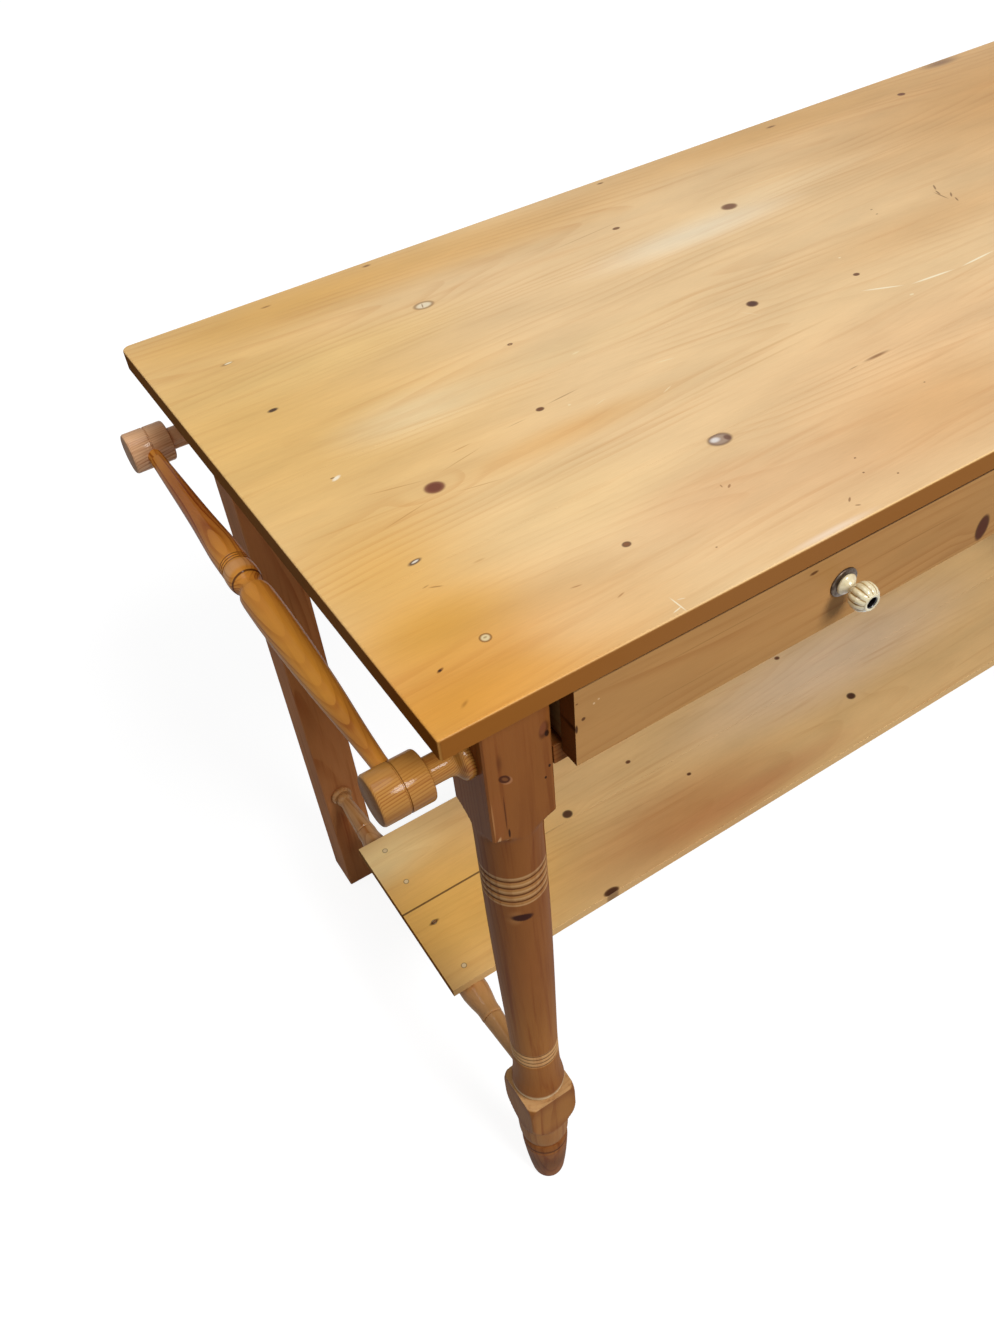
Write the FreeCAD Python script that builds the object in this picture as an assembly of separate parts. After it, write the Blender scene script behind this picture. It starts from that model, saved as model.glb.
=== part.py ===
import FreeCAD
import Part
import os
from FreeCAD import Rotation, Vector

# Pine kitchen table: a four-board top on turned front legs and square rear legs, two drawers
# hung side by side under the top, a two-board shelf on turned stretchers, and a turned towel
# rail carried by two round brackets on the left-hand end.
#
# Drawn in millimetres. While the pieces are modelled, X runs along the table from the left
# end of the top, Y from its front edge to the back, and Z up from the floor. Every piece is
# moved to the table's own origin, on the floor under the middle of its bounding box, as it
# is written out.

# ---- Driving dimensions -------------------------------------------------------------

# Top
TOP_LENGTH = 1270.0
TOP_DEPTH = 610.0
TOP_THICKNESS = 19.0
TABLE_HEIGHT = 900.0
TOP_BOARD_WIDTHS = (148.0, 160.0, 142.0, 160.0)
TOP_BACK_CORNER = 9.0
TOP_FRONT_CORNER = 3.0
TOP_ARRIS = 1.8

# Legs
FRONT_LEG = 57.0
FRONT_LEG_X = 38.0
FRONT_LEG_Y = 19.0
REAR_LEG = 54.0
REAR_LEG_X = 48.0
REAR_LEG_Y = 555.0
LEG_ARRIS = 1.2
CUP_NECK_RADIUS = 24.6
SHAFT_TOP_RADIUS = 28.2

# Rails under the top
END_RAIL_THICKNESS = 22.0
END_RAIL_X = 62.0
BACK_RAIL_THICKNESS = 22.0
BACK_RAIL_Y = 571.0
RAIL_BOTTOM = 791.0
BEARER_HEIGHT = 20.0
TENON_THICKNESS = 10.0
TENON_LENGTH = 30.0
BACK_TENON_LENGTH = 22.0
TENON_WIDTH = 38.0
TENON_SHOULDER = 10.0
STUB_LENGTH = 8.0

# Drawers
DRAWER_FRONT_LEFT = 102.0
DRAWER_FRONT_WIDTH = 500.0
DRAWER_FRONT_THICKNESS = 18.5
DRAWER_FRONT_BOTTOM = 803.0
DRAWER_BOX_INSET = 2.0
DRAWER_BOARD = 12.0
DRAWER_BOX_END = 500.0
DRAWER_BACK_SET = 4.0
DRAWER_BACK_DROP = 6.0
DRAWER_SIDE_GAP = 4.0
DRAWER_FRONT_GAP = 0.6
TONGUE_SHOULDER = 3.0
PANEL_THICKNESS = 6.0
GROOVE_DEPTH = 6.0
PANEL_LIFT = 5.6
DRAWER_CLEARANCE = 0.4
STILE_GAP = 7.0
STILE_THICKNESS = 22.0
RUNNER_SHELF = 22.0
RUNNER_SHOULDER = 4.0
GUIDE_HEIGHT = 22.0

# Knobs
KNOB_FROM_LEFT = 246.5
KNOB_HEIGHT = 845.0
ROSE_RADIUS = 13.0
ROSE_THICKNESS = 2.4
KNOB_RADIUS = 12.0
KNOB_PROJECTION = 30.0
KNOB_BOLT_RADIUS = 2.0
NUT_ACROSS_FLATS = 7.0
NUT_THICKNESS = 3.2

# Shelf and stretchers
SHELF_LEFT = 43.5
SHELF_FRONT = 193.0
SHELF_SEAM = 315.0
SHELF_BACK = 435.0
SHELF_TOP = 237.5
SHELF_THICKNESS = 13.5
STRETCHER_X = 71.0
STRETCHER_HEIGHT = 208.0
STRETCHER_RADIUS = 17.2
SHELF_NAIL_PLACES = (214.0, 285.0, 356.0, 413.0)

# Towel rail
RAIL_X = -16.0
RAIL_HEIGHT = 817.0
RAIL_SKEW = 5.0
RAIL_DROP = 11.0
BRACKET_OUTER = -37.0
BRACKET_HEAD_RADIUS = 20.4
BRACKET_HEAD_LENGTH = 42.5
BRACKET_ARRIS = 1.6
BRACKET_NECK_RADIUS = 11.2
BRACKET_COLLAR = 8.0
FRONT_BRACKET_Y = 47.5
REAR_BRACKET_Y = 582.0
REAR_BRACKET_TENON = 18.0
RAIL_SPIGOT_RADIUS = 7.0
RAIL_SPIGOT_END = 9.0

# Round tenons and fasteners
ROUND_TENON_RADIUS = 8.0
SCREW_X = 73.0
SCREW_PLACES = (61.0, 159.0, 288.0, 413.0, 514.0)
SCREW_SHANK_RADIUS = 2.2
SCREW_HEAD_RADIUS = 4.6
SCREW_LENGTH = 38.0
PLUG_RADIUS = 4.8
PLUG_THICKNESS = 6.0
NAIL_WIDTH = 2.6
NAIL_HEAD_WIDTH = 5.0
NAIL_HEAD_THICKNESS = 1.2
NAIL_LENGTH = 32.0

# ---- Worked out from the driving dimensions -----------------------------------------

TOP_UNDERSIDE = TABLE_HEIGHT - TOP_THICKNESS
MIDDLE = TOP_LENGTH / 2
BEARER_TOP = RAIL_BOTTOM + BEARER_HEIGHT
FRONT_LEG_BACK = FRONT_LEG_Y + FRONT_LEG
REAR_LEG_INNER = REAR_LEG_X + REAR_LEG
SHELF_UNDERSIDE = SHELF_TOP - SHELF_THICKNESS
DRAWER_FRONT_RIGHT = DRAWER_FRONT_LEFT + DRAWER_FRONT_WIDTH
KNOB_X = DRAWER_FRONT_LEFT + KNOB_FROM_LEFT
STILE_LEFT = DRAWER_FRONT_RIGHT + STILE_GAP
RAIL_FRONT = Vector(RAIL_X, FRONT_BRACKET_Y, RAIL_HEIGHT)
RAIL_REAR = Vector(RAIL_X + RAIL_SKEW, REAR_BRACKET_Y, RAIL_HEIGHT - RAIL_DROP)
RAIL_SPAN = (RAIL_REAR - RAIL_FRONT).Length
RAIL_LINE = (RAIL_REAR - RAIL_FRONT) / RAIL_SPAN
ORIGIN = Vector((BRACKET_OUTER + TOP_LENGTH) / 2, (TOP_DEPTH - KNOB_PROJECTION) / 2, 0)

ALONG_X = Vector(1, 0, 0)
ALONG_Y = Vector(0, 1, 0)
FORWARD = Vector(0, -1, 0)
UPWARD = Vector(0, 0, 1)


# ---- Helpers ------------------------------------------------------------------------

def block(x0, y0, z0, x1, y1, z1):
    """A squared piece of timber between two opposite corners."""
    return Part.makeBox(x1 - x0, y1 - y0, z1 - z0, Vector(x0, y0, z0))


def rod(radius, length, start, direction):
    """A plain round rod."""
    return Part.makeCylinder(radius, length, start, direction)


def laid(shape, direction, start):
    """Turn a piece modelled along +Z to lie along a direction from a starting point."""
    placed = shape.copy()
    placed.Placement = FreeCAD.Placement(start, Rotation(UPWARD, direction))
    return placed


def mirrored(shape):
    """The same piece at the other end of the table."""
    return shape.mirror(Vector(MIDDLE, 0, 0), ALONG_X)


def eased(shape, size, direction):
    """Plane a small chamfer on every arris that runs along a direction."""
    edges = []
    for edge in shape.Edges:
        if isinstance(edge.Curve, Part.Line):
            if abs(edge.tangentAt(edge.FirstParameter).dot(direction)) > 0.999:
                edges.append(edge)
    return shape.makeChamfer(size, edges)


class Turning:
    """A lathe profile, cut station by station along the work and spun about its axis."""

    def __init__(self, station, radius):
        self.edges = []
        self.here = Vector(0, 0, station)
        self.straight(station, radius)

    def straight(self, station, radius):
        """A straight cut to a station and radius."""
        there = Vector(radius, 0, station)
        self.edges.append(Part.LineSegment(self.here, there).toShape())
        self.here = there

    def arc(self, mid_station, mid_radius, station, radius):
        """A bead, cove or long swell through a middle point."""
        middle = Vector(mid_radius, 0, mid_station)
        there = Vector(radius, 0, station)
        self.edges.append(Part.Arc(self.here, middle, there).toShape())
        self.here = there

    def rings(self, first, pitch, count, width, depth):
        """A band of incised rings, each a fine V cut from the present radius."""
        radius = self.here.x
        for index in range(count):
            middle = first + index * pitch
            self.straight(middle - width / 2, radius)
            self.straight(middle, radius - depth)
            self.straight(middle + width / 2, radius)

    def solid(self):
        """Close the profile on the axis and spin it."""
        self.straight(self.here.z, 0)
        first = self.edges[0].Vertexes[0].Point
        self.edges.append(Part.LineSegment(self.here, first).toShape())
        face = Part.Face(Part.Wire(self.edges))
        return Part.makeSolid(face.revolve(Vector(0, 0, 0), UPWARD, 360))


# ---- Top ----------------------------------------------------------------------------

def screw_centres():
    """Where the top is screwed down, in a row over each end of the frame."""
    rows = (SCREW_X, TOP_LENGTH - SCREW_X)
    return [Vector(x, y, TABLE_HEIGHT - PLUG_THICKNESS) for x in rows for y in SCREW_PLACES]


def top_screw(centre):
    """A countersunk wood screw, head up, with its head just under the plug."""
    head_height = SCREW_HEAD_RADIUS - SCREW_SHANK_RADIUS
    screw = Turning(0, SCREW_HEAD_RADIUS)
    screw.straight(head_height, SCREW_SHANK_RADIUS)
    screw.straight(SCREW_LENGTH, SCREW_SHANK_RADIUS)
    return laid(screw.solid(), -UPWARD, centre)


def make_top_screws():
    """The ten screws that hold the top."""
    return Part.makeCompound([top_screw(centre) for centre in screw_centres()])


def make_screw_plugs():
    """Pine plugs over the screw heads, flush with the top."""
    plugs = [rod(PLUG_RADIUS, PLUG_THICKNESS, centre, UPWARD) for centre in screw_centres()]
    return Part.makeCompound(plugs)


def make_top():
    """The whole top as one slab, corners rounded and upper arris softened."""
    slab = block(0, 0, TOP_UNDERSIDE, TOP_LENGTH, TOP_DEPTH, TABLE_HEIGHT)
    for radius, y in ((TOP_BACK_CORNER, TOP_DEPTH), (TOP_FRONT_CORNER, 0)):
        corners = []
        for edge in slab.Edges:
            ends = [vertex.Point for vertex in edge.Vertexes]
            upright = abs(ends[0].z - ends[1].z) > TOP_THICKNESS / 2
            if upright and abs(ends[0].y - y) < TOP_ARRIS:
                corners.append(edge)
        slab = slab.makeFillet(radius, corners)
    rim = [edge for edge in slab.Edges if edge.BoundBox.ZMin > TABLE_HEIGHT - TOP_ARRIS]
    return slab.makeFillet(TOP_ARRIS, rim)


def make_top_boards(screws, plugs):
    """The four boards, front to back, bored for the screws and their plugs."""
    slab = make_top().cut(screws).cut(plugs)
    boards = []
    front = 0
    for width in TOP_BOARD_WIDTHS:
        strip = block(0, front, TOP_UNDERSIDE, TOP_LENGTH, front + width, TABLE_HEIGHT)
        boards.append(slab.common(strip))
        front += width
    return boards


# ---- Legs ---------------------------------------------------------------------------

def front_leg_profile():
    """Toe, collar, square block, cup, ringed shaft and long upper block of a front leg."""
    corner = FRONT_LEG * 0.74
    leg = Turning(0, 9.0)
    # Toe: a blunt tip, then a slow swell up to a fine edge and its quirk.
    leg.straight(4, 15.6)
    leg.straight(16, 19.6)
    leg.arc(45, 22.9, 97, 26.3)
    leg.straight(98.4, 25.2)
    leg.straight(99.8, 26.4)
    leg.straight(118, 26.4)
    # Collar, parted from the toe by a V.
    leg.straight(121.5, 24.7)
    leg.straight(126, 27.2)
    leg.straight(134, 28.3)
    leg.straight(165, 28.3)
    # Lower block: its corners are coved away underneath, and its top is cut square.
    leg.straight(174, 33.0)
    leg.straight(192, corner)
    leg.straight(245, corner)
    leg.straight(245, 24.4)
    # Cup that flares out over the block.
    leg.straight(248, 24.0)
    leg.straight(253, 27.2)
    leg.straight(257, 28.2)
    leg.straight(264, 27.8)
    leg.arc(283, 25.5, 320, CUP_NECK_RADIUS)
    leg.rings(326, 7.5, 4, 2.6, 0.9)
    # Shaft, a little stouter towards the top.
    leg.arc(500, 27.2, 634, SHAFT_TOP_RADIUS)
    leg.rings(640, 9.6, 4, 3.0, 1.0)
    leg.straight(716, SHAFT_TOP_RADIUS)
    # Corners of the upper block are coved down into the shaft.
    leg.arc(730.5, 32.6, 740, corner)
    leg.straight(TOP_UNDERSIDE, corner)
    return leg.solid()


def make_front_leg():
    """A front leg: a square blank with the turned profile cut out of it."""
    blank = block(
        FRONT_LEG_X, FRONT_LEG_Y, 0,
        FRONT_LEG_X + FRONT_LEG, FRONT_LEG_BACK, TOP_UNDERSIDE,
    )
    blank = eased(blank, LEG_ARRIS, UPWARD)
    axis = Vector(FRONT_LEG_X + FRONT_LEG / 2, FRONT_LEG_Y + FRONT_LEG / 2, 0)
    profile = front_leg_profile()
    profile.translate(axis)
    return blank.common(profile)


def make_rear_leg():
    """A rear leg, left square from end to end."""
    leg = block(
        REAR_LEG_X, REAR_LEG_Y, 0,
        REAR_LEG_INNER, REAR_LEG_Y + REAR_LEG, TOP_UNDERSIDE,
    )
    return eased(leg, LEG_ARRIS, UPWARD)


# ---- Rails, stile, runners and guides -----------------------------------------------

def make_bearer_rail():
    """The rail the drawers slide in over, tenoned between the front legs."""
    left = FRONT_LEG_X + FRONT_LEG
    right = TOP_LENGTH - left
    rail = block(left, FRONT_LEG_Y, RAIL_BOTTOM, right, FRONT_LEG_BACK, BEARER_TOP)
    inset = (BEARER_HEIGHT - TENON_THICKNESS) / 2
    tenon = block(
        left - TENON_LENGTH, FRONT_LEG_Y + TENON_SHOULDER, RAIL_BOTTOM + inset,
        right + TENON_LENGTH, FRONT_LEG_BACK - TENON_SHOULDER, BEARER_TOP - inset,
    )
    return rail.fuse(tenon).removeSplitter()


def end_tenon(y0, y1):
    """The part of an end rail's tenons between two faces, low enough to miss the screws."""
    inset = (END_RAIL_THICKNESS - TENON_THICKNESS) / 2
    return block(
        END_RAIL_X + inset, y0, BEARER_TOP,
        END_RAIL_X + END_RAIL_THICKNESS - inset, y1, BEARER_TOP + TENON_WIDTH,
    )


def make_end_rail():
    """The rail across the left end, tenoned into the front and rear legs."""
    rail = block(
        END_RAIL_X, FRONT_LEG_BACK, RAIL_BOTTOM,
        END_RAIL_X + END_RAIL_THICKNESS, REAR_LEG_Y, TOP_UNDERSIDE,
    )
    tenons = end_tenon(FRONT_LEG_BACK - TENON_LENGTH, REAR_LEG_Y + TENON_LENGTH)
    return rail.fuse(tenons).removeSplitter()


def make_back_rail():
    """The rail between the rear legs, its tenons stopped short of the end rails' own."""
    right = TOP_LENGTH - REAR_LEG_INNER
    rail = block(
        REAR_LEG_INNER, BACK_RAIL_Y, RAIL_BOTTOM,
        right, BACK_RAIL_Y + BACK_RAIL_THICKNESS, TOP_UNDERSIDE,
    )
    inset = (BACK_RAIL_THICKNESS - TENON_THICKNESS) / 2
    tenons = block(
        REAR_LEG_INNER - BACK_TENON_LENGTH, BACK_RAIL_Y + inset, BEARER_TOP,
        right + BACK_TENON_LENGTH, BACK_RAIL_Y + BACK_RAIL_THICKNESS - inset, BEARER_TOP + TENON_WIDTH,
    )
    return rail.fuse(tenons).removeSplitter()


def make_centre_stile():
    """The short upright between the drawers, stub-tenoned into the bearer rail."""
    right = TOP_LENGTH - STILE_LEFT
    inset = (STILE_THICKNESS - TENON_THICKNESS) / 2
    stile = block(
        STILE_LEFT, FRONT_LEG_Y, BEARER_TOP,
        right, FRONT_LEG_Y + STILE_THICKNESS, TOP_UNDERSIDE,
    )
    stub = block(
        STILE_LEFT + TENON_SHOULDER, FRONT_LEG_Y + inset, BEARER_TOP - STUB_LENGTH,
        right - TENON_SHOULDER, FRONT_LEG_Y + STILE_THICKNESS - inset, BEARER_TOP,
    )
    return stile.fuse(stub).removeSplitter()


def runner(left, right, stub_left, stub_right):
    """A board level with the bearer rail, with a stub tenon at each end."""
    board = block(left, FRONT_LEG_BACK, RAIL_BOTTOM, right, BACK_RAIL_Y, BEARER_TOP)
    inset = (BEARER_HEIGHT - TENON_THICKNESS) / 2
    stub = block(
        stub_left, FRONT_LEG_BACK - STUB_LENGTH, RAIL_BOTTOM + inset,
        stub_right, BACK_RAIL_Y + STUB_LENGTH, BEARER_TOP - inset,
    )
    return board.fuse(stub).removeSplitter()


def make_side_runner(rear_leg):
    """The runner along the left end, notched round the rear leg."""
    left = END_RAIL_X + END_RAIL_THICKNESS
    right = DRAWER_FRONT_LEFT + RUNNER_SHELF
    return runner(left, right, REAR_LEG_INNER + RUNNER_SHOULDER, right - RUNNER_SHOULDER).cut(rear_leg)


def make_centre_runner():
    """The wide runner that both drawers share in the middle."""
    left = DRAWER_FRONT_RIGHT - RUNNER_SHELF
    right = TOP_LENGTH - left
    return runner(left, right, left + TENON_SHOULDER, right - TENON_SHOULDER)


def make_side_guide():
    """The strip that fills out the end rail and keeps the drawer straight."""
    return block(
        END_RAIL_X + END_RAIL_THICKNESS, FRONT_LEG_BACK, BEARER_TOP,
        DRAWER_FRONT_LEFT + DRAWER_BOX_INSET - DRAWER_CLEARANCE, REAR_LEG_Y,
        BEARER_TOP + GUIDE_HEIGHT,
    )


def make_centre_guide():
    """The strip between the two drawers."""
    left = DRAWER_FRONT_RIGHT - DRAWER_BOX_INSET + DRAWER_CLEARANCE
    return block(
        left, FRONT_LEG_BACK, BEARER_TOP,
        TOP_LENGTH - left, BACK_RAIL_Y, BEARER_TOP + GUIDE_HEIGHT,
    )


# ---- Shelf and stretchers -----------------------------------------------------------

def make_stretcher():
    """A turned stretcher: a stout barrel with beaded, tapering ends and round tenons."""
    length = REAR_LEG_Y - FRONT_LEG_BACK
    tenon = BACK_TENON_LENGTH
    half = Turning(-tenon, ROUND_TENON_RADIUS)
    half.straight(0, ROUND_TENON_RADIUS)
    half.straight(0, 12.4)
    half.straight(2.5, 14.2)
    half.straight(6.5, 14.2)
    half.straight(9, 12.4)
    half.straight(9, 9.2)
    half.straight(14, 10.6)
    half.straight(19, 8.8)
    half.arc(45, 10.4, 76, 12.6)
    half.straight(77.5, 11.4)
    half.straight(79, 12.9)
    half.straight(92, 13.4)
    half.straight(116, STRETCHER_RADIUS)
    half.straight(length / 2, STRETCHER_RADIUS)
    near = half.solid()
    far = near.mirror(Vector(0, 0, length / 2), UPWARD)
    whole = near.fuse(far).removeSplitter()
    return laid(whole, ALONG_Y, Vector(STRETCHER_X, FRONT_LEG_BACK, STRETCHER_HEIGHT))


def nail_centres():
    """Where the shelf boards are nailed down on each stretcher."""
    rows = (STRETCHER_X, TOP_LENGTH - STRETCHER_X)
    return [Vector(x, y, SHELF_TOP) for x in rows for y in SHELF_NAIL_PLACES]


def shelf_nail(centre):
    """A cut nail with a square head, driven flush."""
    head = Vector(NAIL_HEAD_WIDTH / 2, NAIL_HEAD_WIDTH / 2, 0)
    shank = Vector(NAIL_WIDTH / 2, NAIL_WIDTH / 2, 0)
    under_head = centre - UPWARD * NAIL_HEAD_THICKNESS
    tip = centre - UPWARD * NAIL_LENGTH
    nail = block(*(under_head - head), *(centre + head))
    return nail.fuse(block(*(tip - shank), *(under_head + shank))).removeSplitter()


def make_shelf_nails():
    """The eight nails of the shelf."""
    return Part.makeCompound([shelf_nail(centre) for centre in nail_centres()])


def make_shelf_board(front, back):
    """One of the two shelf boards, bare of nail holes."""
    return block(SHELF_LEFT, front, SHELF_UNDERSIDE, TOP_LENGTH - SHELF_LEFT, back, SHELF_TOP)


# ---- Towel rail ---------------------------------------------------------------------

def make_towel_rail():
    """The turned rail: two long tapers that meet at a cove, a bead and fine rings."""
    rail = Turning(FRONT_BRACKET_Y + RAIL_SPIGOT_END, RAIL_SPIGOT_RADIUS)
    rail.straight(78, RAIL_SPIGOT_RADIUS)
    rail.straight(150, 10.9)
    rail.arc(222, 14.0, 296, 14.6)
    rail.straight(305.5, 12.7)
    rail.straight(308, 10.2)
    rail.straight(313, 9.7)
    rail.straight(318, 11.4)
    rail.straight(322, 13.8)
    rail.straight(331, 14.8)
    rail.straight(340, 14.2)
    rail.rings(342.5, 3.4, 3, 1.8, 0.7)
    rail.straight(374, 14.3)
    rail.arc(465, 10.0, 551, 7.4)
    rail.straight(551, RAIL_SPIGOT_RADIUS)
    rail.straight(FRONT_BRACKET_Y + RAIL_SPAN - RAIL_SPIGOT_END, RAIL_SPIGOT_RADIUS)
    return laid(rail.solid(), RAIL_LINE, RAIL_FRONT - RAIL_LINE * FRONT_BRACKET_Y)


def make_bracket(seat, leg_face, tenon_length, bore_direction):
    """A bracket turned from one blank: head bored for the rail, neck, collar and tenon."""
    outer = seat.x + BRACKET_OUTER - RAIL_X
    inner = outer + BRACKET_HEAD_LENGTH
    collar = leg_face - BRACKET_COLLAR
    bracket = Turning(outer, BRACKET_HEAD_RADIUS - BRACKET_ARRIS)
    bracket.straight(outer + BRACKET_ARRIS, BRACKET_HEAD_RADIUS)
    bracket.rings(seat.x + 1, 0, 1, 1.6, 0.8)
    bracket.straight(inner - BRACKET_ARRIS, BRACKET_HEAD_RADIUS)
    bracket.straight(inner, BRACKET_HEAD_RADIUS - BRACKET_ARRIS)
    bracket.straight(inner, BRACKET_NECK_RADIUS)
    bracket.straight(collar - 9, BRACKET_NECK_RADIUS)
    bracket.straight(collar - 4, 12.6)
    bracket.straight(collar, 17.6)
    bracket.straight(collar + 3, 19.2)
    bracket.straight(leg_face, 18.6)
    bracket.straight(leg_face, ROUND_TENON_RADIUS)
    bracket.straight(leg_face + tenon_length, ROUND_TENON_RADIUS)
    blank = laid(bracket.solid(), ALONG_X, Vector(0, seat.y, seat.z))
    start = seat + bore_direction * RAIL_SPIGOT_END
    return blank.cut(rod(RAIL_SPIGOT_RADIUS, BRACKET_HEAD_RADIUS, start, bore_direction))


# ---- Drawers ------------------------------------------------------------------------

def make_drawer():
    """The left-hand drawer, piece by piece, each seated in the grooves of its neighbours."""
    outer_left = DRAWER_FRONT_LEFT + DRAWER_BOX_INSET
    outer_right = DRAWER_FRONT_RIGHT - DRAWER_BOX_INSET
    inner_left = outer_left + DRAWER_BOARD
    inner_right = outer_right - DRAWER_BOARD
    side_bottom = BEARER_TOP + DRAWER_CLEARANCE
    side_top = TOP_UNDERSIDE - DRAWER_SIDE_GAP
    panel_bottom = side_bottom + PANEL_LIFT
    panel_top = panel_bottom + PANEL_THICKNESS
    groove_front = DRAWER_FRONT_THICKNESS - GROOVE_DEPTH
    back_rear = DRAWER_BOX_END - DRAWER_BACK_SET

    bottom = block(
        inner_left - GROOVE_DEPTH, groove_front, panel_bottom,
        inner_right + GROOVE_DEPTH, DRAWER_BOX_END, panel_top,
    )
    back = block(
        inner_left - GROOVE_DEPTH, back_rear - DRAWER_BOARD, panel_top,
        inner_right + GROOVE_DEPTH, back_rear, side_top - DRAWER_BACK_DROP,
    )
    sides = []
    for left in (outer_left, inner_right):
        side = block(
            left, DRAWER_FRONT_THICKNESS, side_bottom,
            left + DRAWER_BOARD, DRAWER_BOX_END, side_top,
        )
        tongue = block(
            left + TONGUE_SHOULDER, groove_front, side_bottom,
            left + DRAWER_BOARD - TONGUE_SHOULDER, DRAWER_FRONT_THICKNESS, side_top,
        )
        sides.append(side.fuse(tongue).removeSplitter().cut(bottom).cut(back))
    front = block(
        DRAWER_FRONT_LEFT, 0, DRAWER_FRONT_BOTTOM,
        DRAWER_FRONT_RIGHT, DRAWER_FRONT_THICKNESS, TOP_UNDERSIDE - DRAWER_FRONT_GAP,
    )
    front = front.cut(bottom).cut(sides[0]).cut(sides[1])
    bolt_bore = rod(
        KNOB_BOLT_RADIUS, DRAWER_FRONT_THICKNESS,
        Vector(KNOB_X, DRAWER_FRONT_THICKNESS, KNOB_HEIGHT), FORWARD,
    )
    return {
        "drawer_front": front.cut(bolt_bore),
        "drawer_side_left": sides[0],
        "drawer_side_right": sides[1],
        "drawer_back": back,
        "drawer_bottom": bottom,
    }


def make_knob_set():
    """Rose, glazed knob, through bolt and nut of one drawer."""
    seat = Vector(KNOB_X, 0, KNOB_HEIGHT)
    recess_depth = 5.0
    recess_radius = 4.2
    bolt_seat = KNOB_PROJECTION - recess_depth
    bolt_inside = DRAWER_FRONT_THICKNESS + NUT_THICKNESS + 1.5

    rose = Turning(0, ROSE_RADIUS)
    rose.straight(ROSE_THICKNESS / 2, ROSE_RADIUS)
    rose.straight(ROSE_THICKNESS, ROSE_RADIUS - 2.4)

    # Domed foot, narrow waist, then a plump head with a flat, recessed front.
    knob = Turning(ROSE_THICKNESS, 8.6)
    knob.straight(5.6, 7.2)
    knob.straight(8.6, 4.3)
    knob.straight(11.4, 4.3)
    knob.straight(13.6, 8.8)
    knob.straight(17.5, 11.6)
    knob.straight(22.5, KNOB_RADIUS)
    knob.straight(27, 9.8)
    knob.straight(KNOB_PROJECTION, 6.4)

    bolt = Turning(-bolt_inside, KNOB_BOLT_RADIUS)
    bolt.straight(bolt_seat, KNOB_BOLT_RADIUS)
    bolt.straight(bolt_seat, recess_radius - 0.3)
    bolt.straight(bolt_seat + 1.8, 1.6)

    nut_wire = Part.makePolygon(
        [Rotation(UPWARD, 60 * turn).multVec(Vector(NUT_ACROSS_FLATS / 3 ** 0.5, 0, 0))
         for turn in range(7)]
    )
    nut = Part.Face(nut_wire).extrude(UPWARD * NUT_THICKNESS)
    nut.translate(Vector(0, 0, -DRAWER_FRONT_THICKNESS - NUT_THICKNESS))

    bolt_solid = bolt.solid()
    recess = rod(recess_radius, recess_depth, Vector(0, 0, bolt_seat), UPWARD)
    knob_solid = knob.solid().cut(recess)
    return {
        "knob_rose": laid(rose.solid().cut(bolt_solid), FORWARD, seat),
        "knob": laid(knob_solid.cut(bolt_solid), FORWARD, seat),
        "knob_bolt": laid(bolt_solid, FORWARD, seat),
        "knob_nut": laid(nut.cut(bolt_solid), FORWARD, seat),
    }


# ---- Assembly -----------------------------------------------------------------------

def bored(piece, *cutters):
    """Cut the seats of other pieces into this one."""
    for cutter in cutters:
        piece = piece.cut(cutter)
    return piece


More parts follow.
